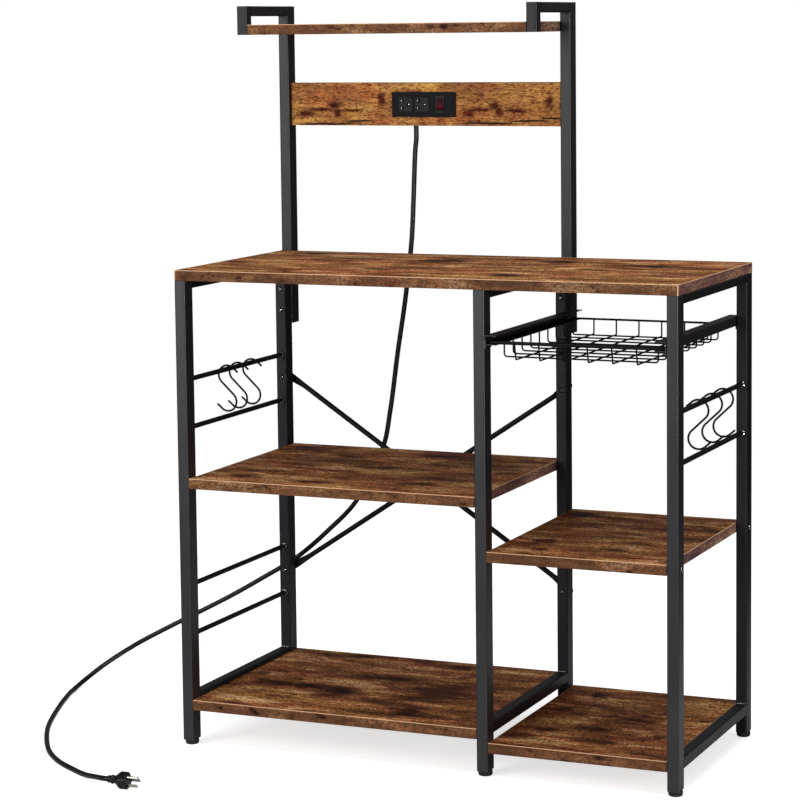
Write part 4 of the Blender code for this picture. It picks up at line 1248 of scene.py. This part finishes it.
studioLook = {
    "floorSize": 40.0,
    "floorColour": "#d8d8d8",
    "floorLift": 0.68,  # the camera sees the paper brighter by this
    "shadowRadius": (1.3, 3.2),
    "worldStrength": 0.44,
    "reflectedStrength": 0.14,
    "paperReach": (0.5, 1.9),  # in the rack's reflections
    "pastPaper": "#2a2a2a",
    "lamps": [
        ("front_softbox", (-1.7, -3.4, 1.6), (0.0, 0.0, 0.70), (2.4, 2.4), 95.0),
        ("top_softbox", (0.3, -0.6, 3.4), (0.0, 0.0, 0.6), (2.2, 2.2), 55.0),
        ("side_softbox", (3.4, -1.6, 1.5), (0.2, 0.0, 0.7), (0.5, 0.5), 15.0),
        ("edge_strip", (2.5, -2.5, 1.2), (0.0, 0.2, 1.2), (0.22, 1.4), 120.0),
    ],
}


def makeFloor(look):
    # White paper sweep, matt: the camera sees it near white with the rack's shadow, plain white further out
    material, tree = newMaterial("paper_sweep")
    matt = {"Base Color": look["floorColour"], "Roughness": 0.9, "Specular IOR Level": 0.0}
    paper = addNode(tree, "BsdfPrincipled", matt)["BSDF"]
    place = addNode(tree, "TexCoord")["Object"]
    away = addNode(tree, "VectorMath", {"operation": "LENGTH", 0: place})["Value"]
    near, far = look["shadowRadius"]
    fade = addNode(tree, "MapRange", {"Value": away, "From Min": near, "From Max": far})["Result"]
    lift = addNode(tree, "Emission", {"Strength": look["floorLift"]})[0]
    lifted = addNode(tree, "AddShader", {0: paper, 1: lift})[0]
    plain = addNode(tree, "Emission", {"Strength": 1.0})[0]
    seen = addNode(tree, "MixShader", {0: fade, 1: lifted, 2: plain})[0]
    # Mirrored in the rack, the paper ends and the dark studio floor begins
    ray = addNode(tree, "LightPath")
    near, far = look["paperReach"]
    past = addNode(tree, "MapRange", {"Value": away, "From Min": near, "From Max": far})["Result"]
    past = addNode(tree, "Math", {"operation": "MULTIPLY", 0: past, 1: ray["Is Glossy Ray"]})[0]
    dark = addNode(tree, "BsdfDiffuse", {"Color": look["pastPaper"]})[0]
    mirrored = addNode(tree, "MixShader", {0: past, 1: paper, 2: dark})[0]
    shown = addNode(tree, "MixShader", {0: ray["Is Camera Ray"], 1: mirrored, 2: seen})[0]
    addNode(tree, "OutputMaterial", {"Surface": shown})
    half = look["floorSize"] / 2
    mesh = bpy.data.meshes.new("paper_floor")
    corners = [(-half, -half, 0), (half, -half, 0), (half, half, 0), (-half, half, 0)]
    mesh.from_pydata(corners, [], [(0, 1, 2, 3)])
    mesh.materials.append(material)
    floor = addObject("paper_floor", mesh)


def makeLamps(look):
    for name, place, target, size, power in look["lamps"]:
        lamp = bpy.data.lights.new(name, "AREA")
        lamp.shape = "RECTANGLE"
        lamp.size, lamp.size_y = size
        lamp.energy = power
        holder = addObject(name, lamp)
        holder.location = place
        holder.rotation_euler = (Vector(target) - Vector(place)).to_track_quat("-Z", "Y").to_euler()
        # The strip only glints along the tubes' rounded edges
        holder.visible_diffuse = name != "edge_strip"


def makeWorld(look):
    # White to the camera and plain light elsewhere, dimmer where the steel mirrors it
    world = bpy.data.worlds.new("studio_world")
    world.use_nodes = True
    bpy.context.scene.world = world
    tree = world.node_tree
    tree.nodes.clear()
    ray = addNode(tree, "LightPath")
    plain, reflected = look["worldStrength"], look["reflectedStrength"]
    dimmed = {"Value": ray["Is Glossy Ray"], "To Min": plain, "To Max": reflected}
    dimmed = addNode(tree, "MapRange", dimmed)["Result"]
    strength = {"Value": ray["Is Camera Ray"], "To Min": dimmed, "To Max": 1.0}
    strength = addNode(tree, "MapRange", strength)["Result"]
    background = addNode(tree, "Background", {"Color": "#ffffff", "Strength": strength})[0]
    addNode(tree, "OutputWorld", {"Surface": background})


makeFloor(studioLook)
makeLamps(studioLook)
makeWorld(studioLook)
bpy.context.scene.view_settings.view_transform = "Standard"
print("studio made")
